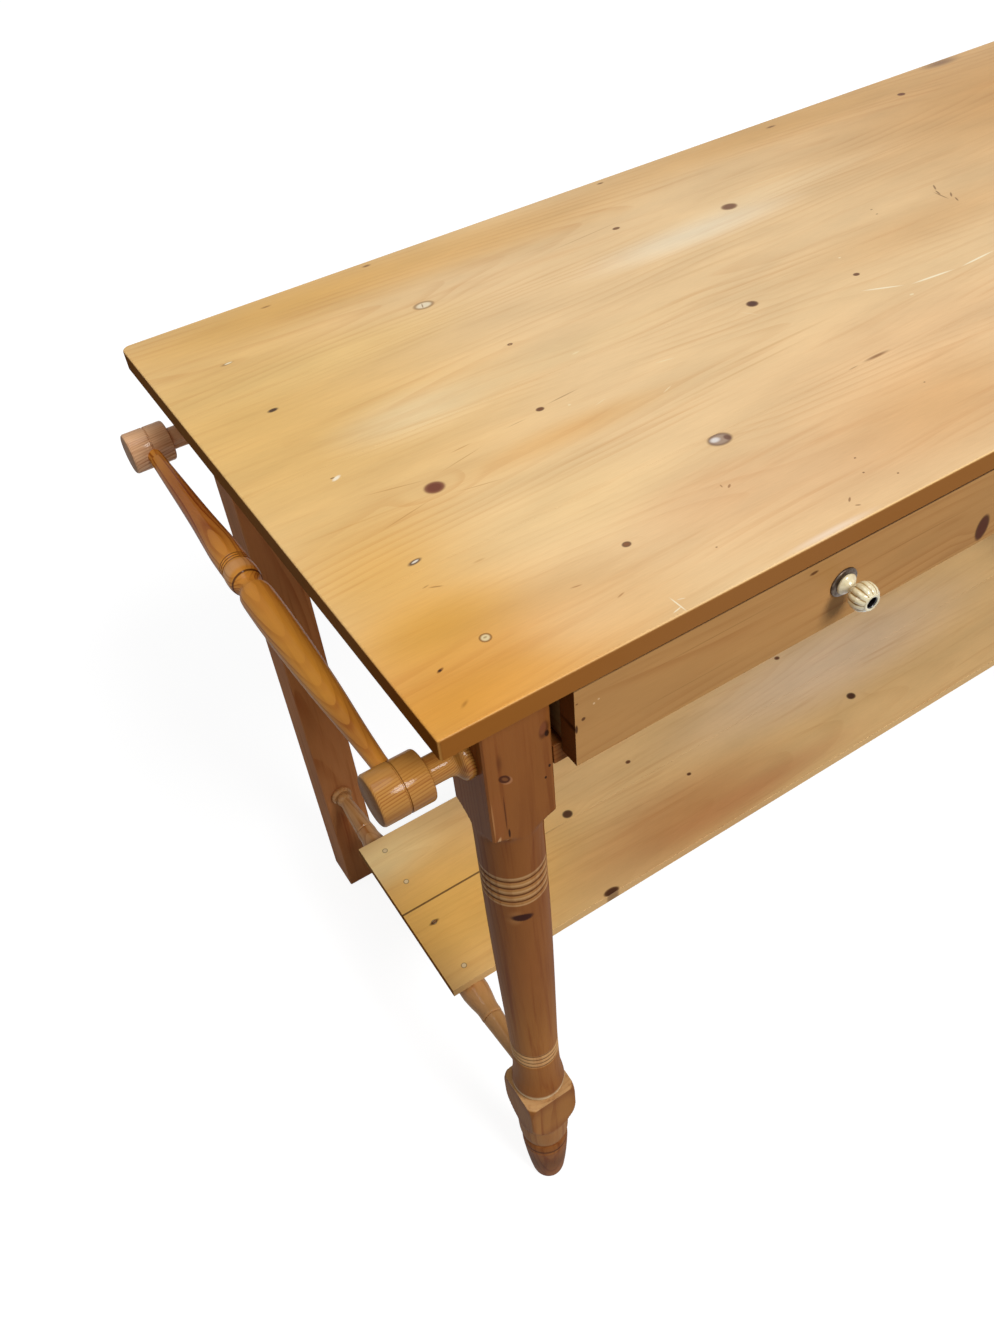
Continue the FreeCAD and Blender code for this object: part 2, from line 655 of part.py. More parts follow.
def make_table():
    """Every node of the table, with its mortises and bores cut, by name."""
    screws = make_top_screws()
    plugs = make_screw_plugs()
    nails = make_shelf_nails()
    bearer = make_bearer_rail()
    end_rail = make_end_rail()
    back_rail = make_back_rail()
    stile = make_centre_stile()
    stretcher = make_stretcher()
    front_bracket = make_bracket(RAIL_FRONT, FRONT_LEG_X, BACK_TENON_LENGTH, RAIL_LINE)
    rear_bracket = make_bracket(RAIL_REAR, REAR_LEG_X, REAR_BRACKET_TENON, -RAIL_LINE)
    rear_leg = make_rear_leg()
    side_runner = make_side_runner(rear_leg)
    centre_runner = make_centre_runner()

    nodes = {}
    board_names = ("top_board_front", "top_board_second", "top_board_third", "top_board_back")
    nodes.update(zip(board_names, make_top_boards(screws, plugs)))

    front_leg = bored(make_front_leg(), bearer, end_rail, stretcher, screws)
    rear_leg = bored(rear_leg, end_rail, back_rail, stretcher)
    nodes["front_leg_left"] = front_leg.cut(front_bracket)
    nodes["front_leg_right"] = mirrored(front_leg)
    nodes["rear_leg_left"] = rear_leg.cut(rear_bracket)
    nodes["rear_leg_right"] = mirrored(rear_leg)

    runners = (side_runner, centre_runner, mirrored(side_runner))
    nodes["front_bearer_rail"] = bored(bearer, stile, *runners)
    nodes["back_rail"] = bored(back_rail, *runners)
    nodes["end_rail_left"] = end_rail.cut(screws)
    nodes["end_rail_right"] = mirrored(nodes["end_rail_left"])
    nodes["centre_stile"] = stile
    nodes["drawer_runner_left"] = side_runner
    nodes["drawer_runner_centre"] = centre_runner
    nodes["drawer_runner_right"] = mirrored(side_runner)
    nodes["drawer_guide_left"] = make_side_guide()
    nodes["drawer_guide_centre"] = make_centre_guide()
    nodes["drawer_guide_right"] = mirrored(nodes["drawer_guide_left"])

    shelf_boards = {
        "shelf_board_front": make_shelf_board(SHELF_FRONT, SHELF_SEAM),
        "shelf_board_rear": make_shelf_board(SHELF_SEAM, SHELF_BACK),
    }
    nodes["stretcher_left"] = bored(stretcher, nails, *shelf_boards.values())
    nodes["stretcher_right"] = mirrored(nodes["stretcher_left"])
    for name, board in shelf_boards.items():
        nodes[name] = board.cut(nails)

    nodes["towel_rail"] = make_towel_rail()
    nodes["towel_bracket_front"] = front_bracket
    nodes["towel_bracket_rear"] = rear_bracket
    nodes["top_screws"] = screws
    nodes["screw_plugs"] = plugs
    nodes["shelf_nails"] = nails

    for name, shape in {**make_drawer(), **make_knob_set()}.items():
        nodes["left_" + name] = shape
        twin = mirrored(shape)
        if name == "drawer_side_left":
            nodes["right_drawer_side_right"] = twin
        elif name == "drawer_side_right":
            nodes["right_drawer_side_left"] = twin
        else:
            nodes["right_" + name] = twin
    return nodes


def export(nodes):
    """Move each piece to the table's origin and write one STEP file for it."""
    os.makedirs("parts", exist_ok=True)
    for name, shape in nodes.items():
        placed = shape.copy()
        placed.translate(-ORIGIN)
        placed.exportStep("parts/" + name + ".step")


export(make_table())
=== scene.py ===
"""A pine kitchen table with drawers, turned front legs and a towel rail: its shaped pieces and finishes."""

import math
from functools import partial
from typing import NamedTuple

import bmesh
import bpy
from bpy.props import FloatProperty, FloatVectorProperty, IntProperty, PointerProperty
from mathutils import Matrix, Vector


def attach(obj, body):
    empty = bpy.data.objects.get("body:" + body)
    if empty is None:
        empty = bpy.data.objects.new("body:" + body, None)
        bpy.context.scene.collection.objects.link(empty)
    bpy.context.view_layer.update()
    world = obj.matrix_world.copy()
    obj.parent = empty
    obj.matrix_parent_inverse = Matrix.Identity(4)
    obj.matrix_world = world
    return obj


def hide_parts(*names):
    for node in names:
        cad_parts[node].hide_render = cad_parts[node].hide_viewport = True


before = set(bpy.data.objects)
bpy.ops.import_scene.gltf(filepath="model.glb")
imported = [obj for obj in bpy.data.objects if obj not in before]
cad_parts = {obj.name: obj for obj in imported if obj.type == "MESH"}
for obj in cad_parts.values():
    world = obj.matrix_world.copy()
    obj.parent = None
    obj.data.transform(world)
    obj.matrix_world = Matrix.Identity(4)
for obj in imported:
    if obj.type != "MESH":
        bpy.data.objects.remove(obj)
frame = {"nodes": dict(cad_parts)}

bl_info = {
    "name": "Pine Kitchen Table",
    "version": (1, 0, 0),
    "blender": (4, 5, 0),
    "location": "3D View > Sidebar > Pine Table",
    "description": "Builds the turned pieces, softened boards and finishes of a pine kitchen table",
    "category": "Object",
}

MM = 0.001
# The middle of the table on the floor, measured from the top's left end and front edge.
MIDDLE_X = 616.5
MIDDLE_Y = 290.0

FRONT_LEG_WIDTH = 57.0
FRONT_LEG_AXES = {"left": (66.5, 47.5), "right": (1203.5, 47.5)}
FRONT_LEG_TOP = 881.0
STRETCHER_AXES = {"left": 71.0, "right": 1199.0}
STRETCHER_HEIGHT = 208.0
STRETCHER_LENGTH = 479.0
FRONT_LEG_BACK = 76.0
# The towel rail drops and leans a little from its front bracket to its rear one.
RAIL_FRONT = Vector((-16.0, 47.5, 817.0))
RAIL_REAR = Vector((-11.0, 582.0, 806.0))
RAIL_SPIGOT = 9.0
# For each bracket: the leg's face that its collar meets, and its tenon's length.
BRACKET_SEATS = {"front": (38.0, 22.0), "rear": (48.0, 18.0)}
KNOB_HEIGHT = 845.0
KNOB_PLACES = {"left": 348.5, "right": 921.5}
# The right-hand plugs; the left-hand ones have marks of their own.
PLUG_COLUMN = 1197.0
PLUG_ROWS = (61.0, 159.0, 288.0, 413.0, 514.0)
NAIL_COLUMNS = (71.0, 1199.0)
NAIL_ROWS = (214.0, 285.0, 356.0, 413.0)


def place(x, y, z):
    """A point in the frame, from millimetres measured from the top's left front corner at floor level."""
    return Vector(((x - MIDDLE_X) * MM, (y - MIDDLE_Y) * MM, z * MM))


def linear(hex_colour):
    """An sRGB hex colour as linear red, green, blue and full alpha."""
    channels = [int(hex_colour[i : i + 2], 16) / 255 for i in (1, 3, 5)]
    bent = [c / 12.92 if c <= 0.04045 else ((c + 0.055) / 1.055) ** 2.4 for c in channels]
    return (*bent, 1.0)


# Kinds of node that are used often: type, output wanted and settings.
PLUS, MINUS, TIMES, OVER, TIMES_PLUS, LEAST, MOST, SIZE, SINE, COSINE = (
    ("ShaderNodeMath", 0, {"operation": word})
    for word in (
        "ADD", "SUBTRACT", "MULTIPLY", "DIVIDE", "MULTIPLY_ADD",
        "MINIMUM", "MAXIMUM", "ABSOLUTE", "SINE", "COSINE",
    )
)
SCALE = ("ShaderNodeVectorMath", 0, {"operation": "MULTIPLY"})
SCALE_PLUS = ("ShaderNodeVectorMath", 0, {"operation": "MULTIPLY_ADD"})
LENGTH = ("ShaderNodeVectorMath", "Value", {"operation": "LENGTH"})
RANGE = ("ShaderNodeMapRange", 0, {})
SMOOTH = ("ShaderNodeMapRange", 0, {"interpolation_type": "SMOOTHSTEP"})
BLEND = ("ShaderNodeMix", 2, {"data_type": "RGBA"})
NOISE = ("ShaderNodeTexNoise", 0, {})
SPLIT = ("ShaderNodeSeparateXYZ", None, {})
JOIN = ("ShaderNodeCombineXYZ", 0, {})
PLACE = ("ShaderNodeTexCoord", "Object", {})
PRINCIPLED = ("ShaderNodeBsdfPrincipled", 0, {})
OUTPUT = ("ShaderNodeOutputMaterial", None, {})


def add_node(tree, kind, inputs=(), out=0, **settings):
    """Adds a node of a type or of a kind above, sets it, and fills or links its inputs in order or by name.

    It gives back one output, or the node if out is None.
    """
    if isinstance(kind, tuple):
        kind, out, usual = kind
        settings = {**usual, **settings}
    node = tree.nodes.new(kind)
    for name, value in settings.items():
        setattr(node, name, value)
    for name, value in inputs.items() if isinstance(inputs, dict) else enumerate(inputs):
        if isinstance(value, bpy.types.NodeSocket):
            tree.links.new(value, node.inputs[name])
        else:
            node.inputs[name].default_value = value
    return node if out is None else node.outputs[out]


def emptied(owner):
    """The emptied node tree of a new material or world, and the function that adds nodes to it."""
    owner.use_nodes = True
    owner.node_tree.nodes.clear()
    return owner.node_tree, partial(add_node, owner.node_tree)


def new_object(name, data):
    """An object in the scene for a mesh, a lamp or a camera."""
    made = bpy.data.objects.new(name, data)
    bpy.context.collection.objects.link(made)
    return made


# ---------------- sizes and colours


def colour_property(name, description, hex_colour):
    """A colour that a user may change, with its default written as sRGB hex."""
    return FloatVectorProperty(
        name=name, description=description, subtype="COLOR", size=4, min=0, max=1, default=linear(hex_colour)
    )


def length_property(name, description, default, most):
    """A length that a user may change, in metres."""
    return FloatProperty(
        name=name, description=description, default=default, min=0, max=most, unit="LENGTH",
        subtype="DISTANCE",
    )


def power_property(name, description, default):
    """A lamp's power that a user may change, in watts."""
    return FloatProperty(name=name, description=description, default=default, min=0, unit="POWER")


class PineTableTurning(bpy.types.PropertyGroup):
    """Sizes of the turned pieces."""

    sides: IntProperty(name="Sides", description="Steps round a piece", default=96, min=24, max=240)
    square_arris: length_property("Square Arris", "Flat taken off a leg's square corners", 0.0016, 0.01)
    knob_lobes: IntProperty(name="Knob Lobes", description="Lobes round a knob", default=12, min=6, max=24)
    lobe_depth: length_property("Lobe Depth", "Depth of the grooves between a knob's lobes", 0.0013, 0.004)


class PineTableBoards(bpy.types.PropertyGroup):
    """Sizes of the softened boards."""

    top_arris: length_property("Top Arris", "Wear along the top boards' edges", 0.0006, 0.004)
    board_arris: length_property("Board Arris", "Wear along the edges of the other boards", 0.0008, 0.004)


class PineTableFinish(bpy.types.PropertyGroup):
    """Colours of the finishes."""

    pale: colour_property("Top Pine", "Waxed top away from its honey-coloured left end", "#ecc997")
    shelf: colour_property("Shelf Pine", "Shelf boards", "#efc588")
    drawer: colour_property("Drawer Pine", "Drawer fronts", "#bc8b53")
    stain: colour_property("Leg Stain", "Turned front legs", "#955b2b")
    frame: colour_property("Frame Stain", "Rear legs and rails", "#c4824e")
    stretcher: colour_property("Stretcher Pine", "Turned stretchers", "#c8945c")
    rail: colour_property("Rail Pine", "Towel rail", "#d89038")
    bracket: colour_property("Bracket Pine", "Towel rail's brackets", "#b9833f")
    bare: colour_property("Bare Pine", "Unfinished wood inside, darkened with age", "#a67c4e")
    cream: colour_property("Cream Glaze", "Knobs' lobes", "#e3d7b0")
    gilt: colour_property("Worn Gilt", "Grooves of the knobs", "#a37f42")


class PineTableStage(bpy.types.PropertyGroup):
    """Light on the table."""

    key_power: power_property("Key Power", "Power of the lamp high in front", 252.0)
    fill_power: power_property("Fill Power", "Power of the wide lamp overhead", 46.0)
    room_light: FloatProperty(
        name="Room Light", description="Light from all round", default=0.12, min=0, max=1
    )


# ---------------- turning

# Points of a turned sheet that are nearer than this, in metres, are made one.
WELD = 0.00002
# Two faces of a turned piece meet in a crisp line where they turn by more than this.
CRISP = math.radians(38)


class Turning:
    """The outline of a turned piece: stations along it and radii, in millimetres."""

    def __init__(self, station, radius):
        self.points = [(station, radius)]

    def straight(self, *points):
        """Straight runs to each point."""
        self.points.extend(points)

    def curve(self, *points, step=2.5):
        """One smooth curve from the last point through these."""
        knots = [self.points[-1], *points]
        slopes = []
        for i in range(len(knots)):
            before = knots[max(i - 1, 0)]
            after = knots[min(i + 1, len(knots) - 1)]
            slopes.append((after[1] - before[1]) / (after[0] - before[0]))
        for i in range(len(knots) - 1):
            (s0, r0), (s1, r1) = knots[i], knots[i + 1]
            gap = s1 - s0
            pieces = max(2, math.ceil(abs(gap) / step))
            for k in range(1, pieces + 1):
                t = k / pieces
                rise = slopes[i] * gap * (t - 2 * t * t + t**3)
                fall = slopes[i + 1] * gap * (t**3 - t * t)
                level = r0 + (r1 - r0) * (3 * t * t - 2 * t**3)
                self.points.append((s0 + gap * t, level + rise + fall))

    def rings(self, first, pitch, count, width, depth):
        """Grooves cut round a straight part, with rounded edges."""
        radius = self.points[-1][1]
        for i in range(count):
            for along, cut in ((-0.6, 0), (-0.35, 0.35), (0, 1), (0.35, 0.35), (0.6, 0)):
                self.points.append((first + pitch * i + width * along, radius - depth * cut))

    def mirrored(self, middle):
        """The same outline again, the other way round."""
        self.points.extend((2 * middle - s, r) for s, r in reversed(self.points))


def turning_tree():
    """The node tree that turns an outline into a piece.

    The outline is loose points: x is the radius, y the depth of the grooves between lobes, z the station.
    A square blank clips the turned outline, with its arrises taken off, as on a leg turned from square stock.
    """
    tree = bpy.data.node_groups.get("Turned Piece")
    if tree:
        return tree
    tree = bpy.data.node_groups.new("Turned Piece", "GeometryNodeTree")
    for name, kind in {
        "Outline": "Geometry", "Sides": "Int", "Blank Half Width": "Float", "Arris": "Float",
        "Corner Crowding": "Float", "Lobes": "Int", "Finish": "Material",
    }.items():
        tree.interface.new_socket(name, in_out="INPUT", socket_type="NodeSocket" + kind)
    tree.interface.new_socket("Piece", in_out="OUTPUT", socket_type="NodeSocketGeometry")
    add = partial(add_node, tree)
    given = add("NodeGroupInput", out=None).outputs
    half_blank = given["Blank Half Width"]

    stations = add("GeometryNodeAttributeDomainSize", {"Geometry": given["Outline"]}, component="MESH")
    columns = add(PLUS, (given["Sides"], 1.0))
    sheet = add("GeometryNodeMeshGrid", {"Vertices X": columns, "Vertices Y": stations})
    index = add("GeometryNodeInputIndex")
    step_round = add("ShaderNodeMath", (add(OVER, (index, stations)),), operation="FLOOR")
    step_along = add(MINUS, (index, add(TIMES, (step_round, stations))))
    outline = add(
        "GeometryNodeSampleIndex",
        {"Geometry": given["Outline"], "Value": add("GeometryNodeInputPosition"), "Index": step_along},
        data_type="FLOAT_VECTOR", domain="POINT",
    )
    along = add(SPLIT, (outline,)).outputs

    # Steps round the piece, crowded towards the corners of a square blank.
    even = add(TIMES, (add(OVER, (step_round, given["Sides"])), math.tau))
    swing = add(SINE, (add(TIMES, (even, 4.0)),))
    pull = add(TIMES, (given["Corner Crowding"], 0.25))
    angle = add(TIMES_PLUS, (swing, pull, even))
    across = add(COSINE, (angle,))
    up = add(SINE, (angle,))

    # How far out the blank reaches at this angle, to its flats and to its planed corners.
    wide = add(SIZE, (across,))
    tall = add(SIZE, (up,))
    flat = add(OVER, (half_blank, add(MOST, (wide, tall))))
    planed = add(MINUS, (add(PLUS, (half_blank, half_blank)), given["Arris"]))
    corner = add(OVER, (planed, add(PLUS, (wide, tall))))
    blank = add(LEAST, (flat, corner))

    # The lobes of a knob: one smooth swell between each two grooves.
    half_turns = add(TIMES, (add(TIMES, (given["Lobes"], 0.5)), angle))
    swell = add(SIZE, (add(SINE, (half_turns,)),))
    groove = add(MINUS, (1.0, swell))
    turned = add(MINUS, (along["X"], add(TIMES, (along["Y"], groove))))

    radius = add(LEAST, (turned, blank))
    point = add(JOIN, (add(TIMES, (radius, across)), add(TIMES, (radius, up)), along["Z"]))
    shaped = add("GeometryNodeSetPosition", {"Geometry": sheet, "Position": point})
    lobed = add("ShaderNodeMath", (along["Y"], 0.0), operation="GREATER_THAN")
    marked_out = add(
        "GeometryNodeStoreNamedAttribute",
        {"Geometry": shaped, "Name": "groove", "Value": add(TIMES, (groove, lobed))},
        data_type="FLOAT", domain="POINT",
    )
    closed = add("GeometryNodeMergeByDistance", {"Geometry": marked_out, "Distance": WELD})
    real = add("GeometryNodeRealizeInstances", {"Geometry": closed})
    finished = add("GeometryNodeSetMaterial", {"Geometry": real, "Material": given["Finish"]})
    add("NodeGroupOutput", {"Piece": finished}, out=None)
    return tree


ALONG_Z = Matrix.Identity(3)
ALONG_Y = Matrix(((1, 0, 0), (0, 0, 1), (0, -1, 0)))
ALONG_X = Matrix(((0, 0, 1), (0, 1, 0), (-1, 0, 0)))
ALONG_RAIL = (RAIL_REAR - RAIL_FRONT).to_track_quat("Z", "Y").to_matrix()
TOWARDS_FRONT = Matrix(((1, 0, 0), (0, 0, -1), (0, 1, 0)))


def turned_piece(
    name, outline, finish, start, direction=ALONG_Z, blank=200.0, arris=0.0, crowding=0.0, lobes=1,
    lobe_depths=None,
):
    """A mesh turned from an outline, laid from start along one direction."""
    profile = bpy.data.meshes.new(name + "_outline")
    depths = lobe_depths or {}
    spots = [(r * MM, depths.get(i, 0.0), s * MM) for i, (s, r) in enumerate(outline.points)]
    profile.from_pydata(spots, [], [])
    maker = new_object(name + "_maker", profile)
    modifier = maker.modifiers.new("Turned Piece", "NODES")
    modifier.node_group = turning_tree()
    values = {
        "Sides": bpy.context.scene.pine_table_turning.sides, "Blank Half Width": blank / 2 * MM,
        "Arris": arris, "Corner Crowding": crowding, "Lobes": lobes, "Finish": finish,
    }
    for item in modifier.node_group.interface.items_tree:
        if item.in_out == "INPUT" and item.name in values:
            modifier[item.identifier] = values[item.name]
    bpy.context.view_layer.update()
    mesh = bpy.data.meshes.new_from_object(maker.evaluated_get(bpy.context.evaluated_depsgraph_get()))
    maker.modifiers.clear()
    bpy.data.objects.remove(maker)
    mesh.name = name
    mesh.transform(Matrix.Translation(start) @ direction.to_4x4())
    form = bmesh.new()
    form.from_mesh(mesh)
    bmesh.ops.recalc_face_normals(form, faces=form.faces)
    form.to_mesh(mesh)
    form.free()
    mesh.shade_smooth()
    mesh.set_sharp_from_angle(angle=CRISP)
    return new_object(name, mesh)


def front_leg_outline():
    """Toe, swell, collar, lower block, cup, shaft with its two bands of rings, and the top block."""
    # Past the blank's corner, so that the blank clips it square.
    corner = FRONT_LEG_WIDTH * 0.74
    leg = Turning(0, 0)
    leg.straight((0, 9))
    leg.curve((1.4, 13), (4.5, 16), (9, 18.1), (16, 19.6), step=1.5)
    leg.curve((42, 22.4), (72, 24.8), (97, 26.3), step=5)
    leg.straight((98.4, 25.3), (99.8, 26.4), (118, 26.4))
    leg.curve((120, 25.2), (121.5, 24.6), (123, 25.2), step=0.8)
    leg.curve((125, 26.8), (133, 28.0), (146, 28.4), (160, 28.4), step=2)
    # The lower block's corners are worn round.
    leg.curve(
        (165, 28.9), (174, 33.0), (186, 37.4), (200, 39.2), (222, 39.4), (237, 38.4), (243.6, 36.6), step=1
    )
    leg.straight((244.6, 34.6), (245, 33.0), (245, 24.4), (246.5, 23.9))
    leg.curve((248.5, 23.7), (251, 25.6), (254, 27.5), (258, 28.3), (265, 27.8), step=0.9)
    leg.curve((283, 25.6), (305, 24.7), (320, 24.6), step=2.5)
    leg.rings(326, 7.5, 4, 3.0, 0.9)
    leg.straight((354, 24.6))
    leg.curve((420, 25.8), (500, 27.2), (570, 28.0), (634, 28.2), step=8)
    leg.rings(640, 9.6, 4, 3.4, 1.0)
    leg.straight((676, 28.2))
    leg.curve(
        (700, 28.1), (714, 28.3), (724, 28.6), (729, 29.8), (733, 32.2), (736.8, 36.6), (740, corner), step=1
    )
    leg.straight((FRONT_LEG_TOP, corner), (FRONT_LEG_TOP, 0))
    return leg


def stretcher_outline():
    """A tenon, bead, cove and long swell, and the same again the other way round."""
    rail = Turning(-22, 0)
    rail.straight((-22, 8), (0, 8), (0, 12.4))
    rail.curve((2.5, 14.2), (4.5, 14.6), (6.5, 14.2), (9, 12.4), step=0.6)
    rail.straight((9, 9.2))
    rail.curve((11.5, 10.2), (14, 10.6), (16.5, 10.2), (19, 8.8), step=0.7)
    rail.curve((45, 10.5), (62, 11.6), (76, 12.6), step=3)
    rail.straight((77.5, 11.4))
    rail.curve((79, 12.9), (86, 13.0), (92, 13.4), (104, 15.6), (116, 17.2), step=1.5)
    rail.straight((STRETCHER_LENGTH / 2, 17.2))
    rail.mirrored(STRETCHER_LENGTH / 2)
    return rail


def towel_rail_outline():
    """Slim at its ends, with a cove, a bead and three rings past the middle."""
    start = RAIL_SPIGOT
    end = (RAIL_REAR - RAIL_FRONT).length - RAIL_SPIGOT
    rail = Turning(start, 0)
    rail.straight((start, 7), (30.5, 7))
    rail.curve((62, 8.4), (112, 11.4), (167, 13.7), (217, 14.7), (248, 14.6), step=6)
    rail.straight((255, 14.1))
    rail.curve((257, 13.4), (258, 12.6), step=0.5)
    rail.straight((258.6, 11.2))
    rail.curve((261, 10.2), (264.5, 9.7), (268, 10.2), (271, 11.6), (273, 12.8), step=0.7)
    rail.straight((273.6, 13.6))
    rail.curve((278, 14.5), (284, 14.8), (290, 14.6), (293, 14.2), step=0.8)
    rail.rings(295, 3.4, 3, 2.0, 0.7)
    rail.straight((305, 14.3))
    rail.curve((326, 14.2), (351, 12.9), (381, 11.3), (417, 10.0), (457, 8.8), (503, 7.4), step=6)
    rail.straight((503, 7), (end, 7), (end, 0))
    return rail


def bracket_outline(seat, leg_face, tenon):
    """A barrel head with one cut line, a neck, and a stepped collar against the leg."""
    outer = seat - 21.0
    inner = seat + 21.5
    bracket = Turning(outer, 0)
    bracket.straight((outer, 18.2))
    bracket.curve((outer + 0.6, 19.5), (outer + 2.2, 20.4), step=0.5)
    bracket.straight((seat + 0.1, 20.4), (seat + 0.7, 19.4), (seat + 1.3, 19.4), (seat + 1.9, 20.4))
    bracket.straight((inner - 2.2, 20.4))
    bracket.curve((inner - 0.6, 19.6), (inner, 18.2), step=0.5)
    bracket.straight((inner, 11.6))
    bracket.curve((inner + 2.5, 11.2), (leg_face - 17, 11.2), step=4)
    bracket.curve((leg_face - 12, 12.6), (leg_face - 8, 17.6), (leg_face - 6.5, 18.9), step=0.7)
    bracket.curve((leg_face - 4, 19.2), (leg_face - 1.2, 19.0), (leg_face, 18.6), step=0.8)
    bracket.straight((leg_face, 8), (leg_face + tenon, 8), (leg_face + tenon, 0))
    return bracket


def rose_outline():
    """A thin plate with a rolled edge under the knob."""
    rose = Turning(0, 3.2)
    rose.straight((0, 13), (0.9, 13))
    rose.curve((1.5, 12.7), (1.9, 12.1), (2.1, 11.4), step=0.3)
    rose.straight((2.1, 10.6), (2.4, 10.2), (2.4, 3.2), (0, 3.2))
    return rose


def knob_outline():
    """A ceramic foot, a waist, a lobed head, a plain rim and the sunk hole for its bolt."""
    knob = Turning(2.4, 2.6)
    knob.straight((2.4, 8.6))
    knob.curve((3.4, 9.2), (5.0, 8.6), (7.0, 6.2), (9.0, 4.6), (11.0, 4.4), step=0.5)
    first_lobe = len(knob.points)
    knob.curve((12.2, 6.2), (13.6, 8.8), (15.4, 10.7), (17.5, 11.7), (20, 12.0), (22.5, 11.9), step=0.5)
    knob.curve((25.2, 11.1), (27.2, 9.8), (28.4, 8.4), (28.9, 7.6), step=0.4)
    last_lobe = len(knob.points)
    knob.curve((29.6, 7.3), (30, 6.5), (29.8, 5.4), (29.2, 4.7), step=0.3)
    knob.straight((28.4, 4.4), (25.2, 4.2), (25.2, 2.6), (2.4, 2.6))
    return knob, first_lobe, last_lobe


# ---------------- boards

# Points of a sawn piece nearer than this, in metres, are one; faces within the first angle are one flat, and
# edges past the second are arrises.
SAME = 1e-6
FLAT = math.radians(1)
ARRIS = math.radians(40)


def softened(node, arris, finish):
    """A copy of a sawn piece in its finish, with its flat faces whole and its arrises worn round."""
    form = bmesh.new()
    form.from_mesh(frame["nodes"][node].data)
    bmesh.ops.remove_doubles(form, verts=form.verts, dist=SAME)
    bmesh.ops.dissolve_limit(form, angle_limit=FLAT, verts=form.verts, edges=form.edges)
    sharp = [e for e in form.edges if len(e.link_faces) == 2 and e.calc_face_angle() > ARRIS]
    worn = bmesh.ops.bevel(
        form, geom=sharp, offset=arris, segments=2, profile=0.5, affect="EDGES", clamp_overlap=True
    )
    for face in form.faces:
        face.smooth = False
    for face in worn["faces"]:
        face.smooth = True
    mesh = bpy.data.meshes.new("soft_" + node)
    form.to_mesh(mesh)
    form.free()
    mesh.materials.append(finish)
    return new_object("soft_" + node, mesh)


def settle(piece, body, slot, *nodes):
    """The piece rides its body and stands for its nodes, which are hidden. The slot is not used."""
    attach(piece, body)
    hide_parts(*nodes)


def dress(node, finish):
    """A node that keeps its own shape takes this finish."""
    data = frame["nodes"][node].data
    data.materials.clear()
    data.materials.append(finish)


# ---------------- finishes

# For each grain: which of X, Y and Z run along it, across it and through the piece.
GRAIN = {"X": (0, 1, 2), "Y": (1, 0, 2), "Z": (2, 0, 1)}


class Mark(NamedTuple):
    """A soft-edged oval in wood, in millimetres along the grain, across it and through the piece."""

    at: tuple
    reach: tuple
    colour: str
    strength: float = 0.8
    soft: float = 0.4
    turn: float = 0.0
    depth: float = 0.0
    through: float = 3000.0


class Knot(NamedTuple):
    """A knot: its middle, its length and width, its colour, and how far it pushes the rings aside."""

    at: tuple
    size: tuple
    colour: str = "#6b3f2c"
    push: float = 9.0
    rim: str = "#5a3220"
    depth: float = 0.0
    through: float = 3000.0


def ovals(*rows, **shared):
    """Marks from rows of numbers: two for the middle, two for the reach, and then what a Mark takes next."""
    return tuple(Mark((x, y), (long, wide), *rest, **shared) for x, y, long, wide, *rest in rows)


def share_inside(tree, spot, mark):
    """How far inside a mark each point lies, from 0 outside it to 1 in its middle."""
    middle, turn = (*mark.at, mark.depth), (0, 0, math.radians(mark.turn))
    local = add_node(
        tree, "ShaderNodeMapping",
        {"Vector": spot, "Location": middle, "Rotation": turn, "Scale": (*mark.reach, mark.through)},
        vector_type="TEXTURE",
    )
    return add_node(tree, SMOOTH, (add_node(tree, LENGTH, (local,)), 1.0, 1.0 - mark.soft))


def marked(tree, spot, colour, marks):
    """The colour with each mark laid over it in turn."""
    for mark in marks:
        share = add_node(tree, TIMES, (share_inside(tree, spot, mark), mark.strength))
        colour = add_node(tree, BLEND, {0: share, 6: colour, 7: linear(mark.colour)})
    return colour


def knot_marks(knot):
    """A knot's stained halo along the grain, its dark rim and its own wood."""
    long, wide = knot.size[0] / 2, knot.size[1] / 2
    lie = {"depth": knot.depth, "through": knot.through}
    return [
        Mark(knot.at, (long * 2.2, wide * 1.6), "#b5772f", 0.10, 1.0, **lie),
        Mark(knot.at, (long + 0.9, wide + 0.8), knot.rim, 0.85, 0.30, **lie),
        Mark(knot.at, (long - 0.6, wide - 0.5), knot.colour, 0.80, 0.45, **lie),
    ]


def millimetres(add):
    """Where each point lies, in millimetres from the top's left front corner at floor level."""
    metres = add(PLACE)
    return add(SCALE_PLUS, (metres, (1 / MM,) * 3, (MIDDLE_X, MIDDLE_Y, 0.0)))


